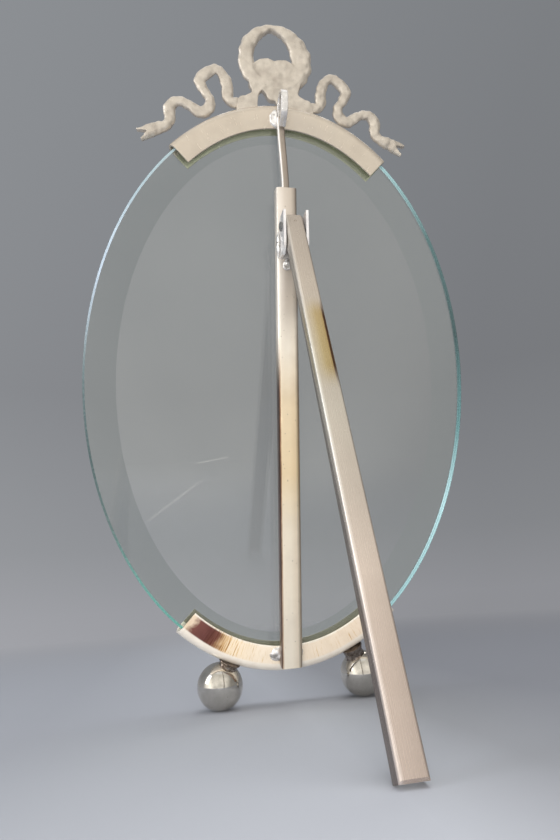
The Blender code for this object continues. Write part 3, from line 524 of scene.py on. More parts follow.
def shaped(name, bm, tools, voxel=None, smooth=0):
    """The bmesh after Boolean tools, a voxel skin and smoothing; the helpers are removed again."""
    work = add_piece(name, bm, Matrix(), None, [])
    helpers = [work]
    for number, (tool, operation) in enumerate(tools):
        helper = add_piece(f"{name}_tool_{number}", tool, Matrix(), None, [])
        helpers.append(helper)
        boolean = work.modifiers.new("tool", "BOOLEAN")
        boolean.operation = operation
        boolean.solver = "EXACT"
        boolean.object = helper
    if voxel:
        skin = work.modifiers.new("skin", "REMESH")
        skin.mode = "VOXEL"
        skin.voxel_size = voxel
    if smooth:
        blend = work.modifiers.new("smooth", "SMOOTH")
        blend.factor = 0.5
        blend.iterations = smooth
    bpy.context.view_layer.update()
    evaluated = work.evaluated_get(bpy.context.evaluated_depsgraph_get())
    result = bmesh.new()
    result.from_mesh(evaluated.to_mesh())
    evaluated.to_mesh_clear()
    for helper in helpers:
        bpy.data.objects.remove(helper, do_unlink=True)
    return result


# Finishes
# Bar brass, silver plated and rubbed with fine abrasive along its length: satin and pale. Painted shade greys it,
# darkest on one side, and leaves a painted highlight along the other edge
rod_plate = plated_metal("satin_rod_plate", [(0.3, "#dcd8d4"), (0.7, "#e8e4e0")], (0.26, 0.3), (0.1, 9.0), 0.0006,
                         speck=0.4, metallic=0.5, streaks=(0.99, 1.005))
stain(rod_plate, "X", -1.2, 1.2, [(0.0, "#7d766f"), (0.3, "#9f978f"), (0.74, "#ada59c"), (0.88, WHITE)], wander=0.04)
# Drawn brass tube, silver plated and hand rubbed: an even satin, golden where the plate has thinned in the middle of
# its length. Painted shade darkens one side of it along its length, and low down a dark maroon line runs along its
# other edge
tube_plate = plated_metal("brushed_tube_plate", [(0.3, "#e4e0da"), (0.55, "#efebe4"), (0.75, "#e7e3dc")], (0.28, 0.3),
                          (0.12, 12.0), 0.0005, speck=0.4, patch=16.0, metallic=0.42, streaks=(0.992, 1.004))
stain(tube_plate, "Z", -92, 65, [(0.0, "#fffaf0"), (0.28, "#fff8ea"), (0.4, "#efdfc1"), (0.55, "#f0e3cb"),
                                 (0.66, "#fffcf6"), (0.8, "#f6f4f3"), (1.0, "#e2dfdd")])
# Painted shade: darker towards one side, first in the lower part, then in the upper part
stain(tube_plate, "X", -3.45, 3.45, [(0.0, "#807b77"), (0.1, "#a9a39e"), (0.22, "#f1ede9"), (0.5, WHITE)],
      [("Z", 30, 10)], wander=0.12)
stain(tube_plate, "X", -3.45, 3.45, [(0.0, "#7d7874"), (0.12, "#a7a19c"), (0.3, "#dad5d0"), (0.6, "#e8e4e0"),
                                     (0.78, "#faf8f7"), (0.86, WHITE)], [("Z", 10, 30)], wander=0.12)
stain(tube_plate, "X", 2.6, 3.2, [(0.0, WHITE), (0.3, "#c9b4a6"), (0.6, "#6d5450"), (1.0, "#3a2a2c")], [("Z", 22, -4)],
      wander=0.12)
# Rolled brass channel, bent cold and silver plated: soft sheen, faintly yellow where the plate is thin
mount_plate = plated_metal("drawn_channel_plate", [(0.3, "#bcb2a5"), (0.5, "#c6bcae"), (0.7, "#c0b7ab")], (0.22, 0.28),
                           (2.5, 0.9), 0.001, patch=14.0, metallic=0.55, streaks=(0.99, 1.006))
# The same channel at the foot, wheel polished, its base painted brighter than the top channel's to stand in for the
# light that falls on it; dark maroon towards one end, with fine golden lines where the wheel cut through to the brass
polished_lit_channel = plated_metal("polished_channel_plate", [(0.3, "#eee5d8"), (0.55, "#f6efe4"), (0.75, "#f0e8da")],
                                (0.16, 0.24), (2.6, 0.5), 0.002, patch=6.0, metallic=0.35, streaks=(0.99, 1.006))
streaks_across(polished_lit_channel, -34, -14, 0.26, ("#e6cfa6", "#a07c58"),
               [("X", -1.0, -1.6), ("Z", -38, -33), ("Y", 0.3, 0.8)])
stain(polished_lit_channel, "Z", -44, 44, [(0.018, "#efe2d2"), (0.034, "#7d524e"), (0.09, "#6a4342"), (0.135, "#7c544d"),
                                       (0.17, "#ecd6b4"), (0.2, "#fff4e0"), (0.36, "#fff9f0"), (1.0, "#fff4e8")],
      [("X", -1.0, -1.6), ("X", -6.9, -6.3), ("Y", 0.3, 0.8)], wander=2.6)
# Both channels: a band by the front lip that only light through the glass reaches, olive on one and grey on the other
for channel, shadow in ((mount_plate, "#f2ffee"), (polished_lit_channel, "#85867e")):
    stain(channel, "Y", -6.4, 1.7, [(0.05, WHITE), (0.08, shadow), (0.12, shadow), (0.2, WHITE)], [("X", -1.5, -2.0)],
          wander=0.05)
# Folded brass strip of the leg, silver plated and rubbed along its length: smooth satin, with a golden worn streak
# below the hinge. Painted shade darkens one side of its face and one side wall, and a painted highlight is left along
# the face's other edge
leg_plate = plated_metal("brushed_leg_plate", [(0.3, "#d1ccc7"), (0.55, "#dad6d1"), (0.75, "#d5d0cb")], (0.26, 0.28),
                         (0.12, 14.0), 0.0004, patch=26.0, metallic=0.7, streaks=(0.992, 1.004))
stain(leg_plate, "Z", -151.3, 3.5, [(0.0, "#e4dcda"), (0.12, "#e6dedb"), (0.24, "#fbf5f2"), (0.36, "#f5f3f0"),
                                    (0.52, "#fafcf8"), (0.6, "#fbfdf7"), (0.78, "#fffcf6"), (0.88, "#f2eee8"),
                                    (1.0, "#ebe8e3")])
# Painted shade to one side of the face, a painted highlight on its other edge, then painted shade on one wall
stain(leg_plate, "X", -2.95, 2.95, [(0.0, "#c9c3be"), (0.1, "#dcd7d2"), (0.84, "#e2ddd8"), (0.92, WHITE)], wander=0.06)
stain(leg_plate, "X", 2.2, 2.95, [(0.5, WHITE), (0.8, "#9b9694")], [("Y", 1.35, 1.1)], wander=0.0)
stain(leg_plate, "X", -2.95, 2.95, [(0.0, "#c9ae7c"), (0.06, "#8a6a48"), (0.1, "#543b2c"), (0.14, "#6f4f38"),
                                    (0.19, "#e0cc9a"), (0.45, "#f0e2b8"), (0.7, "#fbf4de"), (1.0, WHITE)],
      [("Z", -33, -41), ("Z", -67, -58)], wander=0.22)
# Turned brass ball, silver plated and buffed on a wheel: a mirror with a faint warm veil of tarnish
mirror_plate = plated_metal("polished_plated_brass", [(0.3, "#d2cdc4"), (0.7, "#e4dfd6")], (0.09, 0.13), (0.9, 0.9),
                            0.003, patch=5.0, speck=0.3)
# Soldered brass neck, scorched by the torch and never polished: brown and grey, rough, with flux left in its hollows
collar_plate = plated_metal("scorched_collar", [(0.35, "#5d5049"), (0.5, "#8d8076"), (0.7, "#b9aea4")], (0.12, 0.3),
                            (0.5, 0.5), 0.05, patch=1.6)
# Sheared brass sheet of the hinge bracket, plated over its cut edges: bright and cold, with draw lines from the shear
ear_plate = plated_metal("cut_sheet_plate", [(0.35, "#d9d6da"), (0.7, WHITE)], (0.16, 0.26), (0.25, 2.5), 0.004,
                         patch=3.0, metallic=0.6)
# Narrow plated strip of the hanging eye, bent by hand and rubbed bright
eye_plate = plated_metal("bright_strip_plate", [(0.35, "#dad8d6"), (0.7, "#f4f2f1")], (0.16, 0.24), (0.3, 2.5), 0.001,
                         patch=3.0, metallic=0.75)
# Drawn steel wire, bare: dull cold grey with lines along it
pin_steel = plated_metal("drawn_steel_wire", [(0.3, "#8d8c8c"), (0.7, "#b4b3b2")], (0.3, 0.4), (0.15, 0.6), 0.01)
# Turned free-cutting brass, bare: yellow, with fine rings from the lathe
bush_brass = plated_metal("turned_brass", [(0.3, "#b0904e"), (0.7, "#cfae6a")], (0.25, 0.35), (0.2, 0.2), 0.01)
crown_cast = cast_metal("sand_cast_crown")
solder = soft_solder("soft_solder")
clear_plate = plate_glass("plate_glass", "#fafcf9", 0.013, [(27.4, -30.9, 22.5, -36.2), (18.5, -23.6, 11.6, -10.4)])
# The bevel is the same glass, tinted darker as painted shade
bevel_plate = plate_glass("polished_bevel", "#e9f0ec", 0.0)
ground_edge = glass_rim("ground_glass_edge")


# Pieces
def make_glass():
    """The plate, with a ground arris that is wider on one side, a polished rim and a wide bevel on its front."""
    steps = 288
    profile = [(0.0, -ARRIS / 2), (0.0, -GLASS_RIM + 0.2 * MM), (-0.2 * MM, -GLASS_RIM - 0.05 * MM),
               (-BEVEL_WIDTH, -GLASS_THICKNESS)]
    rings = [[] for _ in range(len(profile) + 1)]
    for i in range(steps):
        angle = math.tau * i / steps
        arris = ARRIS * (1 - ARRIS_UNEVEN * math.sin(angle))
        for ring, (out, depth) in zip(rings, [(-arris, 0.0)] + profile):
            point = rim_point(angle, out)
            ring.append((point.x, depth, point.y))
    bm = sweep(rings)
    bmesh.ops.recalc_face_normals(bm, faces=bm.faces)
    # The back and the front are flat and clear, the bevel is nearly flat, and the rim and the arris are steeper
    flat, nearly = 0.999, 0.9
    for face in bm.faces:
        if -nearly < face.normal.y < flat:
            face.material_index = 1
        elif -flat < face.normal.y < 0:
            face.material_index = 2
    add_piece("bevelled_glass", bm, STAND, "spine", [clear_plate, ground_edge, bevel_plate], ["glass_oval"],
              sharp=8)


def mount_section():
    """The channel's section with round lips: out along the rim's normal, and depth."""
    centre = (FLANGE_END, MOUNT_MIDDLE)
    outer = arc(centre, (BULGE, MOUNT_HALF_DEPTH), math.pi / 2, -math.pi / 2, 28)
    inner = arc(centre, (BULGE - WALL, MOUNT_HALF_DEPTH - WALL), -math.pi / 2, math.pi / 2, 28)
    lips = []
    for low, high in ((MOUNT_FRONT, MOUNT_FRONT + WALL), (MOUNT_BACK - WALL, MOUNT_BACK)):
        lips.append(arc((-FLANGE + LIP, low + LIP), (LIP, LIP), -math.pi / 2, -math.pi, 4)
                    + arc((-FLANGE + LIP, high - LIP), (LIP, LIP), math.pi, math.pi / 2, 4))
    return outer + lips[0] + inner + lips[1]


def make_mount(name, middle, body, node_name, plate):
    """A channel bent round the glass's rim, the same length either side of its middle."""
    stations = 120
    rings, grains = [], []
    section = mount_section()
    for i in range(stations + 1):
        angle = middle + MOUNT_END_ANGLE * (2 * i / stations - 1)
        along = (angle - middle) * MOUNT_CURVE
        points = [(rim_point(angle, out), depth) for out, depth in section]
        rings.append([(p.x, depth, p.y) for p, depth in points])
        grains.append([(out, depth, along) for out, depth in section])
    bm = sweep(rings, grains)
    soften(bm, 0.1 * MM)
    add_piece(name, bm, STAND, body, [plate], [node_name])


def make_foot(side):
    """A turned ball with a worn flat, and the rough neck that joins it to the lower mount."""
    centre = FEET[side]
    bm = bmesh.new()
    bmesh.ops.create_uvsphere(bm, u_segments=72, v_segments=36, radius=BALL_RADIUS)
    trim(bm, (0, 0, BALL_FLAT - BALL_RADIUS), (0, 0, -1))
    level = STAND @ Matrix.Translation(centre) @ Matrix.Rotation(LEAN, 4, "X")
    add_piece("ball_foot_" + side, bm, level, "spine", [mirror_plate], ["foot_ball_" + side])

    start = rim_point(FOOT_ANGLES[side], FLANGE_END + BULGE - COLLAR_SEAT)
    away = Vector((centre.x - start.x, 0, centre.z - start.y))
    reach = away.length - BALL_RADIUS + COLLAR_IN_BALL
    waist = [(1.0, 0.0), (1.0, 0.12), (0.92, 0.3), (0.86, 0.5), (0.88, 0.7), (0.95, 0.9), (0.9, 1.0)]
    bm = bmesh.new()
    profile = [bm.verts.new((COLLAR_RADIUS * r, 0, reach * h)) for r, h in waist]
    turn_round(bm, profile, (0, 0, 1), 48)
    bmesh.ops.holes_fill(bm, edges=[edge for edge in bm.edges if edge.is_boundary])
    upright = [e for e in bm.edges if len(e.link_faces) == 2 and abs(e.verts[0].co.z - e.verts[1].co.z) > 0.1 * MM]
    bmesh.ops.subdivide_edges(bm, edges=upright, cuts=1)
    ripple(bm, size=1.1 * MM, depth=0.3 * MM, seed=4.0)
    turn = away.to_track_quat("Z", "Y").to_matrix().to_4x4()
    place = STAND @ Matrix.Translation((start.x, centre.y, start.y)) @ turn
    add_piece("foot_neck_" + side, bm, place, "spine", [collar_plate], ["foot_collar_" + side])


def make_tube():
    """The rounded tube up the back, open at both ends."""
    outer = rounded_rectangle(TUBE_WIDTH, TUBE_DEPTH, TUBE_CORNER)
    inner = rounded_rectangle(TUBE_WIDTH - 2 * TUBE_WALL, TUBE_DEPTH - 2 * TUBE_WALL, TUBE_CORNER - TUBE_WALL)
    rings = []
    for outline, height in ((outer, TUBE_BOTTOM), (outer, TUBE_TOP), (inner, TUBE_TOP), (inner, TUBE_BOTTOM)):
        rings.append([(x, TUBE_MIDDLE + y, height) for x, y in outline])
    bm = sweep(rings, closed=True)
    soften(bm, 0.12 * MM, CUT_EDGE)
    add_piece("spine_sleeve", bm, SPINE, "spine", [tube_plate], ["spine_tube"])


def rod_place(height):
    """Across and depth of the rod's middle: straight in the tube, then set over to the mount's flange."""
    t = min(1.0, max(0.0, (height - ROD_BEND) / (ROD_BEND_END - ROD_BEND)))
    t = t * t * (3 - 2 * t) * 0.35 + t * 0.65
    return ROD_SIDESTEP * t, TUBE_MIDDLE + (ROD_SEAT - TUBE_MIDDLE) * t


def make_rod():
    """The bar that slides in the tube and carries the top mount."""
    outline = rounded_rectangle(ROD_WIDTH, ROD_DEPTH, ROD_CORNER, 6)
    heights = [ROD_BOTTOM, TUBE_TOP] + [TUBE_TOP + (ROD_TOP - TUBE_TOP) * i / 24 for i in range(1, 25)]
    rings, grains = [], []
    for height in heights:
        across, middle = rod_place(height)
        rings.append([(across + x, middle + y, height) for x, y in outline])
        grains.append([(x, y, height) for x, y in outline])
    bm = sweep(rings, grains)
    soften(bm, 0.12 * MM, CUT_EDGE)
    add_piece("sliding_rod", bm, SPINE, "crown_slide", [rod_plate], ["slide_rod"])


def make_hanging_eye():
    """A strip that lies on the flange, curls up and back and ends on the rod."""
    seat = MOUNT_BACK + EYE_GAP + EYE_STRIP / 2
    foot = ROD_TOP + EYE_GAP
    bend = foot + EYE_RISE
    curl = arc((seat + EYE_RADIUS, bend), (EYE_RADIUS, EYE_RADIUS), math.pi, 0, 24)
    shoulder = (seat + EYE_RADIUS * 1.8, bend - EYE_DROP * 0.55)
    end = (MOUNT_BACK + 2 * EYE_GAP + ROD_DEPTH + EYE_STRIP / 2, bend - EYE_DROP)
    tail = smooth_path([Vector(curl[-1]), Vector(shoulder), Vector(end)], 8)[1:]
    path = [Vector((seat, foot))] + [Vector(p) for p in curl] + tail
    section = rounded_rectangle(EYE_WIDTH, EYE_STRIP, 0.22 * MM, 3)
    rings, grains = [], []
    for i, point in enumerate(path):
        across = side_of(path, i)
        rings.append([(x, *(point + across * y)) for x, y in section])
        grains.append([(x, y, i * 0.5 * MM) for x, y in section])
    bm = sweep(rings, grains)
    soften(bm, 0.1 * MM, CUT_EDGE)
    place = STAND @ Matrix.Translation((EYE_SIDESTEP, 0, 0))
    add_piece("hanging_eye", bm, place, "crown_slide", [eye_plate], ["hanging_loop"])


def make_bracket():
    """A folded strip on the tube with two ears, whose lower corners are cut round and whose top slopes."""
    front = TUBE_FACE + SOLDER_GAP - PIN_BACK
    face = front + EAR_THICKNESS
    fold, cut, slope = 0.6 * MM, 2.4 * MM, math.radians(9)
    rings = []
    for height, end in ((-BRACKET_BELOW, EAR_TIP - cut), (cut / 2 - BRACKET_BELOW, EAR_TIP - cut * 0.47),
                        (cut - BRACKET_BELOW, EAR_TIP - 0.1 * cut), (1.5 * cut - BRACKET_BELOW, EAR_TIP),
                        (BRACKET_ABOVE, EAR_TIP)):
        outline = arc((-EAR_OUTSIDE + fold, front + fold), (fold, fold), -math.pi, -math.pi / 2, 5)
        outline += arc((EAR_OUTSIDE - fold, front + fold), (fold, fold), -math.pi / 2, 0, 5)
        outline += [(EAR_OUTSIDE, end), (EAR_INSIDE, end), (EAR_INSIDE, face), (-EAR_INSIDE, face), (-EAR_INSIDE, end),
                    (-EAR_OUTSIDE, end)]
        rings.append([(x, y, height) for x, y in outline])
    bm = sweep(rings)
    trim(bm, (0, EAR_TIP, BRACKET_ABOVE), (0, -math.sin(slope), math.cos(slope)))
    bmesh.ops.triangulate(bm, faces=[face for face in bm.faces if len(face.verts) > 4])
    bm = shaped("bracket_work", bm, [(pin_hole(4 * EAR_OUTSIDE), "DIFFERENCE")])
    add_piece("folded_bracket", bm, HINGE, "spine", [ear_plate], ["hinge_bracket"])


def make_hinge_pin():
    """A pin with a round head outside each ear."""
    gap, thick, head = 0.15 * MM, 0.6 * MM, 1.5 * MM
    face = EAR_OUTSIDE + gap
    end = face + thick
    profile = [(end, 0), (end, head * 0.45), (end - 0.1 * MM, head * 0.75), (end - 0.3 * MM, head), (face, head),
               (face, PIN_RADIUS)]
    profile += [(-x, r) for x, r in reversed(profile)]
    bm = bmesh.new()
    turn_round(bm, [bm.verts.new((x, 0, r)) for x, r in profile], (1, 0, 0), 40)
    bmesh.ops.remove_doubles(bm, verts=bm.verts, dist=0.001 * MM)
    add_piece("riveted_pin", bm, HINGE, "spine", [pin_steel], ["hinge_pin"])


def make_leg():
    """A channel folded from strip, with its top corners cut round, its foot bevelled and a punch mark near the pin."""
    half, deep = LEG_WIDTH / 2, LEG_DEPTH / 2
    web = deep - LEG_WALL
    corner_cut, foot_bevel, punch_radius = 1.2 * MM, 0.6 * MM, 0.45 * MM
    right = arc((half - LEG_CORNER, deep - LEG_CORNER), (LEG_CORNER, LEG_CORNER), 0, math.pi / 2, 8)
    section = right + [(-x, y) for x, y in reversed(right)]
    section += [(-half, -deep), (-half + LEG_WALL, -deep), (-half + LEG_WALL, web), (half - LEG_WALL, web),
                (half - LEG_WALL, -deep), (half, -deep)]
    bm = sweep([[(x, y, height) for x, y in section] for height in (-LEG_LENGTH, LEG_TOP)])
    bmesh.ops.triangulate(bm, faces=[face for face in bm.faces if len(face.verts) > 4])
    for side in (-1, 1):
        for turn, inset in ((22.5, 0.16), (45, 0.5), (67.5, 0.16)):
            slope = math.radians(turn)
            normal = Vector((side * math.sin(slope), 0, math.cos(slope)))
            trim(bm, Vector((side * half, 0, LEG_TOP)) - normal * inset * corner_cut, normal)
    trim(bm, (0, deep - foot_bevel, -LEG_LENGTH), Vector((0, 1, -1)))
    punch = bmesh.new()
    bmesh.ops.create_uvsphere(punch, u_segments=20, v_segments=12, radius=punch_radius)
    bmesh.ops.translate(punch, vec=(-0.2 * MM, deep + 0.15 * MM, 0.6 * MM), verts=punch.verts)
    bm = shaped("leg_work", bm, [(pin_hole(2 * LEG_WIDTH), "DIFFERENCE"), (punch, "DIFFERENCE")])
    add_piece("folding_leg", bm, LEG, "leg", [leg_plate], ["easel_leg"])


def crown_to_mount(across):
    """Height of the top mount's outer wall at a place across the tilted crown."""
    reach = FLANGE_END + BULGE + CROWN_GAP
    height = 0.0
    for _ in range(6):
        x = CROWN_SIDESTEP + across * math.cos(CROWN_TILT) + height * math.sin(CROWN_TILT)
        wall = (HALF_HEIGHT + reach) * math.sqrt(1 - (x / (HALF_WIDTH + reach)) ** 2) - HALF_HEIGHT
        height = (wall + across * math.sin(CROWN_TILT)) / math.cos(CROWN_TILT)
    return height


def bow_plate():
    """The plate under the wreath, with an arch under one side and feet that follow the mount."""
    side = [p * MM for p in smooth_path([Vector(p) for p in BOW_HALF], 4)]
    arch = [p * MM for p in smooth_path([Vector(p) for p in ARCH], 4)]
    foot = side[-1].x
    arch_foot = [foot + (arch[0].x - foot) * i / 6 for i in range(7)]
    plain_foot = [-foot * (1 - i / 12) for i in range(12)]
    outline = [tuple(p) for p in side] + [(x, crown_to_mount(x)) for x in arch_foot] + [tuple(p) for p in arch]
    left = [(-p.x, p.y) for p in side] + [(x, crown_to_mount(x)) for x in plain_foot]
    outline += left[::-1][:-1]
    depths = (CROWN_MIDDLE - CROWN_HALF_DEPTH, CROWN_MIDDLE + CROWN_HALF_DEPTH)
    return sweep([[(x, depth, z) for x, z in outline] for depth in depths])


def leaf(length, width, height):
    """A pointed leaf lying along x, domed towards -y."""
    bm = bmesh.new()
    bmesh.ops.create_icosphere(bm, subdivisions=3, radius=1.0)
    for vert in bm.verts:
        taper = 1 - 0.55 * abs(vert.co.x) ** 1.6
        vert.co = (vert.co.x * length, vert.co.y * height * taper, vert.co.z * width * taper)
    return bm


def join_into(bm, other, place):
    """Add another bmesh to this one at a place."""
    bmesh.ops.transform(other, matrix=place, verts=other.verts)
    spare = bpy.data.meshes.new("spare")
    other.to_mesh(spare)
    other.free()
    bm.from_mesh(spare)
    bpy.data.meshes.remove(spare)


def wreath_edges(angle):
    """Inner and outer radius of the wreath: a pointed opening, and one side fuller than the other."""
    tip_angle, tip_reach = 0.06, 1.25
    from_tip = abs((angle - tip_angle + math.pi) % math.tau - math.pi)
    tip = max(0.0, 1 - from_tip / tip_reach) ** 1.5
    side = math.sin(angle)
    inner = WREATH_HOLE + max(0.0, side) * 0.8 * MM
    inner += (WREATH_RADIUS - WREATH_TIP - inner) * tip
    return inner, WREATH_RADIUS + max(0.0, side) * 0.3 * MM + max(0.0, -side) * 1.3 * MM


def make_wreath():
    """A bound leaf wreath on its bow: leaves stand up on the front, and the back is a plain rough casting."""
    stations, leaves, around = 132, 26, 16
    lump, leaf_edge, under_leaves, half_depth = 0.35 * MM, 0.26 * MM, 0.6 * MM, 1.42 * MM
    rings = []
    for i in range(stations):
        angle = math.tau * i / stations
        inner, outer = wreath_edges(angle)
        bump = noise.noise(Vector((math.cos(angle) * 3.1, math.sin(angle) * 3.1, 7))) * lump
        outer += leaf_edge * abs(math.sin(8 * angle)) + bump - under_leaves
        inner += bump * 0.6
        middle, half = (outer + inner) / 2, (outer - inner) / 2
        section = [(middle + half * math.cos(a), CROWN_MIDDLE + half_depth * max(-1.0, min(0.96, 1.08 * math.sin(a))))
                   for a in [math.tau * j / around for j in range(around)]]
        rings.append([(r * math.sin(angle), depth, WREATH_HEIGHT + r * math.cos(angle)) for r, depth in section])
    bm = sweep(rings, closed=True)
    join_into(bm, bow_plate(), Matrix())
    for i in range(leaves):
        angle = math.tau * (i + 0.5) / leaves
        side = 1 if angle < math.pi else -1
        inner, outer = wreath_edges(angle)
        size = (outer - inner) / (6.4 * MM)
        for lane, splay in ((0.32, -0.45), (0.68, 0.45)):
            radius = inner + (outer - inner) * lane
            spot = (radius * math.sin(angle), CROWN_MIDDLE - 1.05 * MM, WREATH_HEIGHT + radius * math.cos(angle))
            heading = Matrix.Rotation(angle + side * splay, 4, "Y") @ Matrix.Rotation(-side * 0.2, 4, "Z")
            join_into(bm, leaf(2.1 * MM * (0.55 + 0.45 * size), 0.95 * MM * (0.5 + 0.5 * size), 0.5 * MM),
                      Matrix.Translation(spot) @ heading)
    for side in (-1, 1):
        place = Matrix.Translation((side * 3.6 * MM, CROWN_MIDDLE - 0.95 * MM, 12.2 * MM))
        join_into(bm, leaf(4.4 * MM, 2.6 * MM, 0.75 * MM), place @ Matrix.Rotation(side * -0.5, 4, "Y"))
    join_into(bm, leaf(1.6 * MM, 2.0 * MM, 1.0 * MM), Matrix.Translation((0, CROWN_MIDDLE - 0.9 * MM, 11.6 * MM)))
    bm = shaped("wreath_work", bm, [], voxel=SKIN, smooth=2)
    ripple(bm, size=2.0 * MM, depth=0.3 * MM, seed=2.0)
    add_piece("leaf_wreath", bm, CROWN, "crown_slide", [crown_cast], ["wreath"], sharp=60)


def ribbon_width(progress):
    """The width along a ribbon: it swells at each fold and widens to its tail."""
    swell = 0.4 * MM * math.cos(progress * RIBBON_WAVES * math.tau)
    tail = max(0.0, (progress - 0.9) / 0.1)
    return (RIBBON_WIDTH + swell) * (1 - tail) + TAIL_WIDTH * tail


def make_ribbon(name, side, node_name):
    """One wavy ribbon: fluted on its front, plain and lumpy on its back, with a forked tail."""
    path = [p * MM for p in smooth_path([Vector(p) for p in RIBBON_PATH], 10)]
    around, flute = 20, 0.38 * MM
    rings = []
    for i, point in enumerate(path):
        progress = i / (len(path) - 1)
        across = side_of(path, i)
        half = ribbon_width(progress) / 2 * min(1.0, 0.72 + 6 * progress)
        roll = 0.35 * math.sin(progress * RIBBON_WAVES * math.pi)
        section = []
        for j in range(around):
            a = math.tau * j / around
            out = half * max(-1.0, min(1.0, 1.06 * math.cos(a)))
            depth = CROWN_HALF_DEPTH * max(-1.0, min(1.0, 1.04 * math.sin(a))) * min(1.0, 0.8 + 4 * progress)
            if depth < 0:
                depth += flute * math.cos(out / half * math.pi * 0.5) ** 2
            section.append((point + across * out, depth + roll * out * 0.25))
        rings.append([(side * p.x, CROWN_MIDDLE + depth, p.y) for p, depth in section])
    bm = sweep(rings)
    along = (path[-1] - path[-2]).normalized()
    across = Vector((-along.y, along.x))
    end = path[-1] + along * TAIL_WIDTH * 0.3
    corners = [path[-1] - along * TAIL_WIDTH * 0.7, end + across * TAIL_WIDTH * 0.45, end - across * TAIL_WIDTH * 0.45]
    deep = 3 * MM
    notch = sweep([[(side * p.x, CROWN_MIDDLE + depth, p.y) for p in corners] for depth in (-deep, deep)])
    bm = shaped("ribbon_work", bm, [(notch, "DIFFERENCE")], voxel=SKIN, smooth=2)
    ripple(bm, size=1.8 * MM, depth=0.34 * MM, seed=5.0 + side)
    add_piece(name, bm, CROWN, "crown_slide", [crown_cast], [node_name], sharp=60)


def make_bead(name, size, place, planes, frame_place, body, node_name, seed, hang=0.0):
    """One solder bead, run and frozen against its neighbours. A hanging one is narrow at its top."""
    bm = bmesh.new()
    bmesh.ops.create_icosphere(bm, subdivisions=4, radius=1.0)
    for vert in bm.verts:
        vert.co.x *= 1 - hang * vert.co.z
    bmesh.ops.scale(bm, vec=size, verts=bm.verts)
    bmesh.ops.translate(bm, vec=place, verts=bm.verts)
    ripple(bm, size=1.3 * MM, depth=0.3 * MM, seed=seed)
    for point, normal in planes:
        trim(bm, point, normal)
    add_piece(name, bm, frame_place, body, [solder], [node_name], sharp=50)


def make_side_beads(name, half_width, height, sizes, frame_place, body, nodes):
    """The beads on both sides of a piece that is soldered to a mount's back."""
    for side_name, side, size in (("left", -1, sizes[0]), ("right", 1, sizes[1])):
        flank = side * half_width
        planes = [((flank, 0, 0), (-side, 0, 0)), ((0, MOUNT_BACK, 0), (0, -1, 0))]
        make_bead(f"{name}_{side_name}", size, (flank, MOUNT_BACK, height), planes, frame_place, body,
                  f"{nodes}_{side_name}", 3.0 + side)


make_glass()
make_mount("lower_channel", BOTTOM_ANGLE, "spine", "bottom_mount", polished_lit_channel)
make_mount("upper_channel", 0.0, "crown_slide", "top_mount", mount_plate)
for foot_side in FEET:
    make_foot(foot_side)
make_tube()
make_rod()
make_hanging_eye()
make_bracket()
make_hinge_pin()
make_leg()
make_wreath()
make_ribbon("ribbon_tail_left", -1, "ribbon_left")
make_ribbon("ribbon_tail_right", 1, "ribbon_right")

LARGE = (2.4 * MM, 1.4 * MM, 3.0 * MM)
LONG = (3.2 * MM, 1.4 * MM, 2.4 * MM)
SMALL = (1.2 * MM, 0.9 * MM, 1.8 * MM)
make_side_beads("tube_bead", TUBE_WIDTH / 2, -88.9 * MM, (SMALL, LONG), SPINE, "spine", "tube_solder")
make_side_beads("eye_bead", ROD_WIDTH / 2, ROD_TOP + EYE_GAP, (SMALL, LARGE),
                SPINE @ Matrix.Translation((ROD_SIDESTEP, 0, 0)), "crown_slide", "loop_solder")
ear_side = HINGE_SIDESTEP + EAR_OUTSIDE + SOLDER_GAP
ear_base = TUBE_FACE + SOLDER_GAP
ear_foot = HINGE_HEIGHT - BRACKET_BELOW - SOLDER_GAP
on_tube = ((0, ear_base, 0), (0, -1, 0))
make_bead("ear_bead_side", (0.8 * MM, 1.4 * MM, 4.4 * MM), (ear_side, ear_base, 45.3 * MM),
          [((ear_side, 0, 0), (-1, 0, 0)), on_tube], SPINE, "spine", "hinge_solder_side", 6.0)
make_bead("ear_bead_foot", (1.2 * MM, 0.7 * MM, 2.1 * MM), (0.3 * MM, ear_base, ear_foot - 1.4 * MM),
          [on_tube, ((0, 0, ear_foot), (0, 0, 1))], SPINE, "spine", "hinge_solder_foot", 8.0, 0.55)

for kept, finish in (("rod_guide", bush_brass), ("tension_spring", pin_steel), ("rod_spring_pin", pin_steel),
                     ("spring_anchor_pin", pin_steel)):
    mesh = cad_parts[kept].data
    mesh.materials.clear()
    mesh.materials.append(finish)


# Stage
def seen_directly(add, own_turn):
    """1 for what is seen straight on or through the glass, and 0 for what lights the frame or shines in it.

    The world's own shader counts one turn of the light more than a surface does.
    """
    path = add("LightPath")
    turns = add("Math", {0: path.outputs["Ray Depth"], 1: path.outputs["Transmission Depth"]}, operation="SUBTRACT")
    straight = add("Math", {0: turns, 1: own_turn + 0.5}, operation="LESS_THAN")
    through = add("Math", {0: straight, 1: path.outputs["Is Transmission Ray"]}, operation="MULTIPLY")
    return add("Math", {0: through, 1: path.outputs["Is Camera Ray"]}, operation="MAXIMUM")


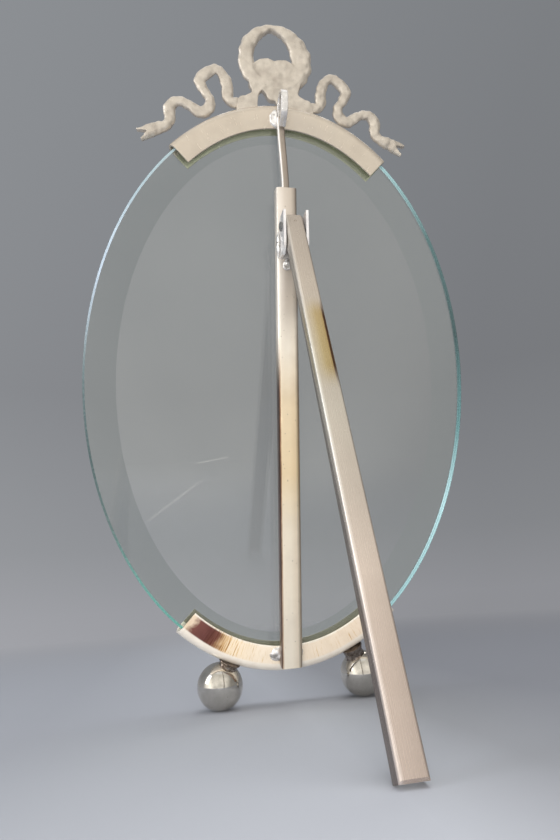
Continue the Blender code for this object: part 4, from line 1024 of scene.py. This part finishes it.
def studio_colour(add, direction, own_turn):
    """Plain grey paper all round, darker as it rises, as it is seen.

    The frame is lit by the paper on its picture side, a pale warm wall on the leg's side and a bright ceiling.
    """
    parts = add("SeparateXYZ", {0: direction})
    across, towards, up = (parts.outputs[axis] for axis in "XYZ")
    paper = add("ValToRGB", {"Fac": up},
                stops=[(0.0, "#9a9ba0"), (0.1, "#8f9195"), (0.35, "#838589"), (0.8, "#888b8f")])
    drift = add("MapRange", {"Value": across, "From Min": -0.5, "From Max": 0.5, "To Min": 0.84, "To Max": 1.16})
    shaded = add("Mix", {0: 1.0, 6: paper, 7: drift}, **TIMES)
    turn = add("MapRange", {"Value": towards, "From Min": -0.2, "From Max": 0.55}, **GENTLE)
    pale = add("ValToRGB", {"Fac": up}, stops=[(0.0, "#fffcf5"), (0.45, "#fbf7ef"), (0.8, "#e2ded6")])
    patches = add("TexNoise", {"Vector": direction, "Scale": 2.1, "Detail": 1.0})
    uneven = add("MapRange", {"Value": patches, "From Min": 0.38, "From Max": 0.62, "To Min": 0.78, "To Max": 1.06})
    left = add("MapRange", {"Value": across, "From Min": 0.5, "From Max": 0.9, "To Min": 1.0, "To Max": 2.0}, **GENTLE)
    right = add("MapRange", {"Value": across, "From Min": -0.85, "From Max": -0.35, "To Min": 0.3, "To Max": 1.0},
                **GENTLE)
    sides = add("Math", {0: left, 1: right}, operation="MULTIPLY")
    level = add("Math", {0: sides, 1: uneven}, operation="MULTIPLY")
    lit = add("Mix", {0: 1.0, 6: pale, 7: level}, **TIMES)
    wall = add("Mix", {0: turn, 6: shaded.outputs[2], 7: lit.outputs[2]}, **BLEND)
    rise = add("MapRange", {"Value": up, "From Min": 0.86, "From Max": 0.97, "To Max": 0.9}, **GENTLE)
    ceiling = add("Mix", {0: rise, 6: wall.outputs[2], 7: colour(WHITE)}, **BLEND)
    seen = add("Mix", {0: seen_directly(add, own_turn), 6: ceiling.outputs[2], 7: shaded.outputs[2]}, **BLEND)
    return seen.outputs[2]


def make_floor():
    """A pale floor with painted light, brighter across its middle than at its sides.
    Its far part, and the part beyond the leg's foot, glow with the wall's own colour, so no line shows where
    they meet.
    """
    bm = bmesh.new()
    bmesh.ops.create_circle(bm, cap_ends=True, segments=96, radius=6.0)
    floor = add_piece("floor", bm, Matrix.Translation((0, 0, -0.05 * MM)), None, [])
    made, add = new_material("matt_floor")
    spot = add("TexCoord").outputs["Object"]
    parts = add("SeparateXYZ", {0: spot})
    away = add("VectorMath", {0: spot}, operation="LENGTH").outputs["Value"]
    ahead = add("VectorMath", {0: spot}, operation="NORMALIZE").outputs["Vector"]
    far = add("MapRange", {"Value": away, "From Min": 0.22, "From Max": 0.8}, **GENTLE)
    behind = add("MapRange", {"Value": parts.outputs["Y"], "From Min": 0.07, "From Max": 0.19}, **GENTLE)
    fade = add("Math", {0: far, 1: behind}, operation="MAXIMUM")
    # Painted light: the floor's colour is brightest across the middle and darker towards the sides
    sheet = add("MapRange", {"Value": parts.outputs["X"], "From Min": -0.08, "From Max": 0.08})
    tone = add("ValToRGB", {"Fac": sheet},
               stops=[(0.0, "#858890"), (0.3, "#8f9299"), (0.5, "#a9adb6"), (0.75, "#a4a8b1"), (1.0, "#9da1aa")])
    matt = add("BsdfDiffuse", {"Color": tone})
    plain = add("Emission", {"Color": studio_colour(add, ahead, 0), "Strength": 1.0})
    add("OutputMaterial", {"Surface": add("MixShader", {0: fade, 1: matt, 2: plain})})
    floor.data.materials.append(made)


def make_world():
    """The room that the frame stands in, as one colour for each direction."""
    world = bpy.data.worlds.new("studio")
    world.use_nodes = True
    world.node_tree.nodes.clear()
    add = partial(node, world.node_tree)
    direction = add("TexCoord").outputs["Generated"]
    plain = add("Background", {"Color": studio_colour(add, direction, 1), "Strength": 1.0})
    add("OutputWorld", {"Surface": plain})
    bpy.context.scene.world = world


def add_to_scene(name, data, place, turn):
    """Stand a lamp or the camera in its place."""
    made = bpy.data.objects.new(name, data)
    bpy.context.scene.collection.objects.link(made)
    made.location = place
    made.rotation_euler = turn
    return made


def add_softbox(name, place, size, power, tone, mirrored=False, target=(0, 0, 0.1)):
    """A soft rectangular lamp turned to the frame. Only a mirrored one shows in polished metal."""
    light = bpy.data.lights.new(name, "AREA")
    light.shape = "RECTANGLE"
    light.size, light.size_y = size
    light.energy = power
    light.color = colour(tone)[:3]
    lamp = add_to_scene(name, light, place, (Vector(target) - Vector(place)).to_track_quat("-Z", "Y").to_euler())
    lamp.visible_camera = False
    lamp.visible_glossy = mirrored
    lamp.visible_transmission = False


make_floor()
make_world()
add_softbox("softbox_above", (-0.15, 0.15, 0.9), (0.5, 0.5), 2.5, WHITE)
add_softbox("softbox_side", (0.7, 0.1, 0.45), (0.25, 0.5), 1.2, "#f4f7ff", True)
add_softbox("softbox_behind", (0.1, 0.8, 0.25), (0.5, 0.5), 2.5, "#fff8f0")
add_softbox("softbox_front", (-0.25, -0.6, 1.05), (0.5, 0.5), 1.8, "#fffaf2", True)
add_softbox("low_card", (0.05, 0.2, 0.025), (0.14, 0.04), 0.42, "#fffaf4", target=(0, 0, 0.03))

lens = bpy.data.cameras.new("camera")
lens.lens = 24.643
lens.sensor_width = 36
lens.clip_start = 0.005
camera_turn = [math.radians(angle) for angle in (-72.366, 176.185, -10.212)]
bpy.context.scene.camera = add_to_scene("camera", lens, (0.03797, 0.16078, 0.03204), camera_turn)
bpy.context.scene.view_settings.view_transform = "Standard"
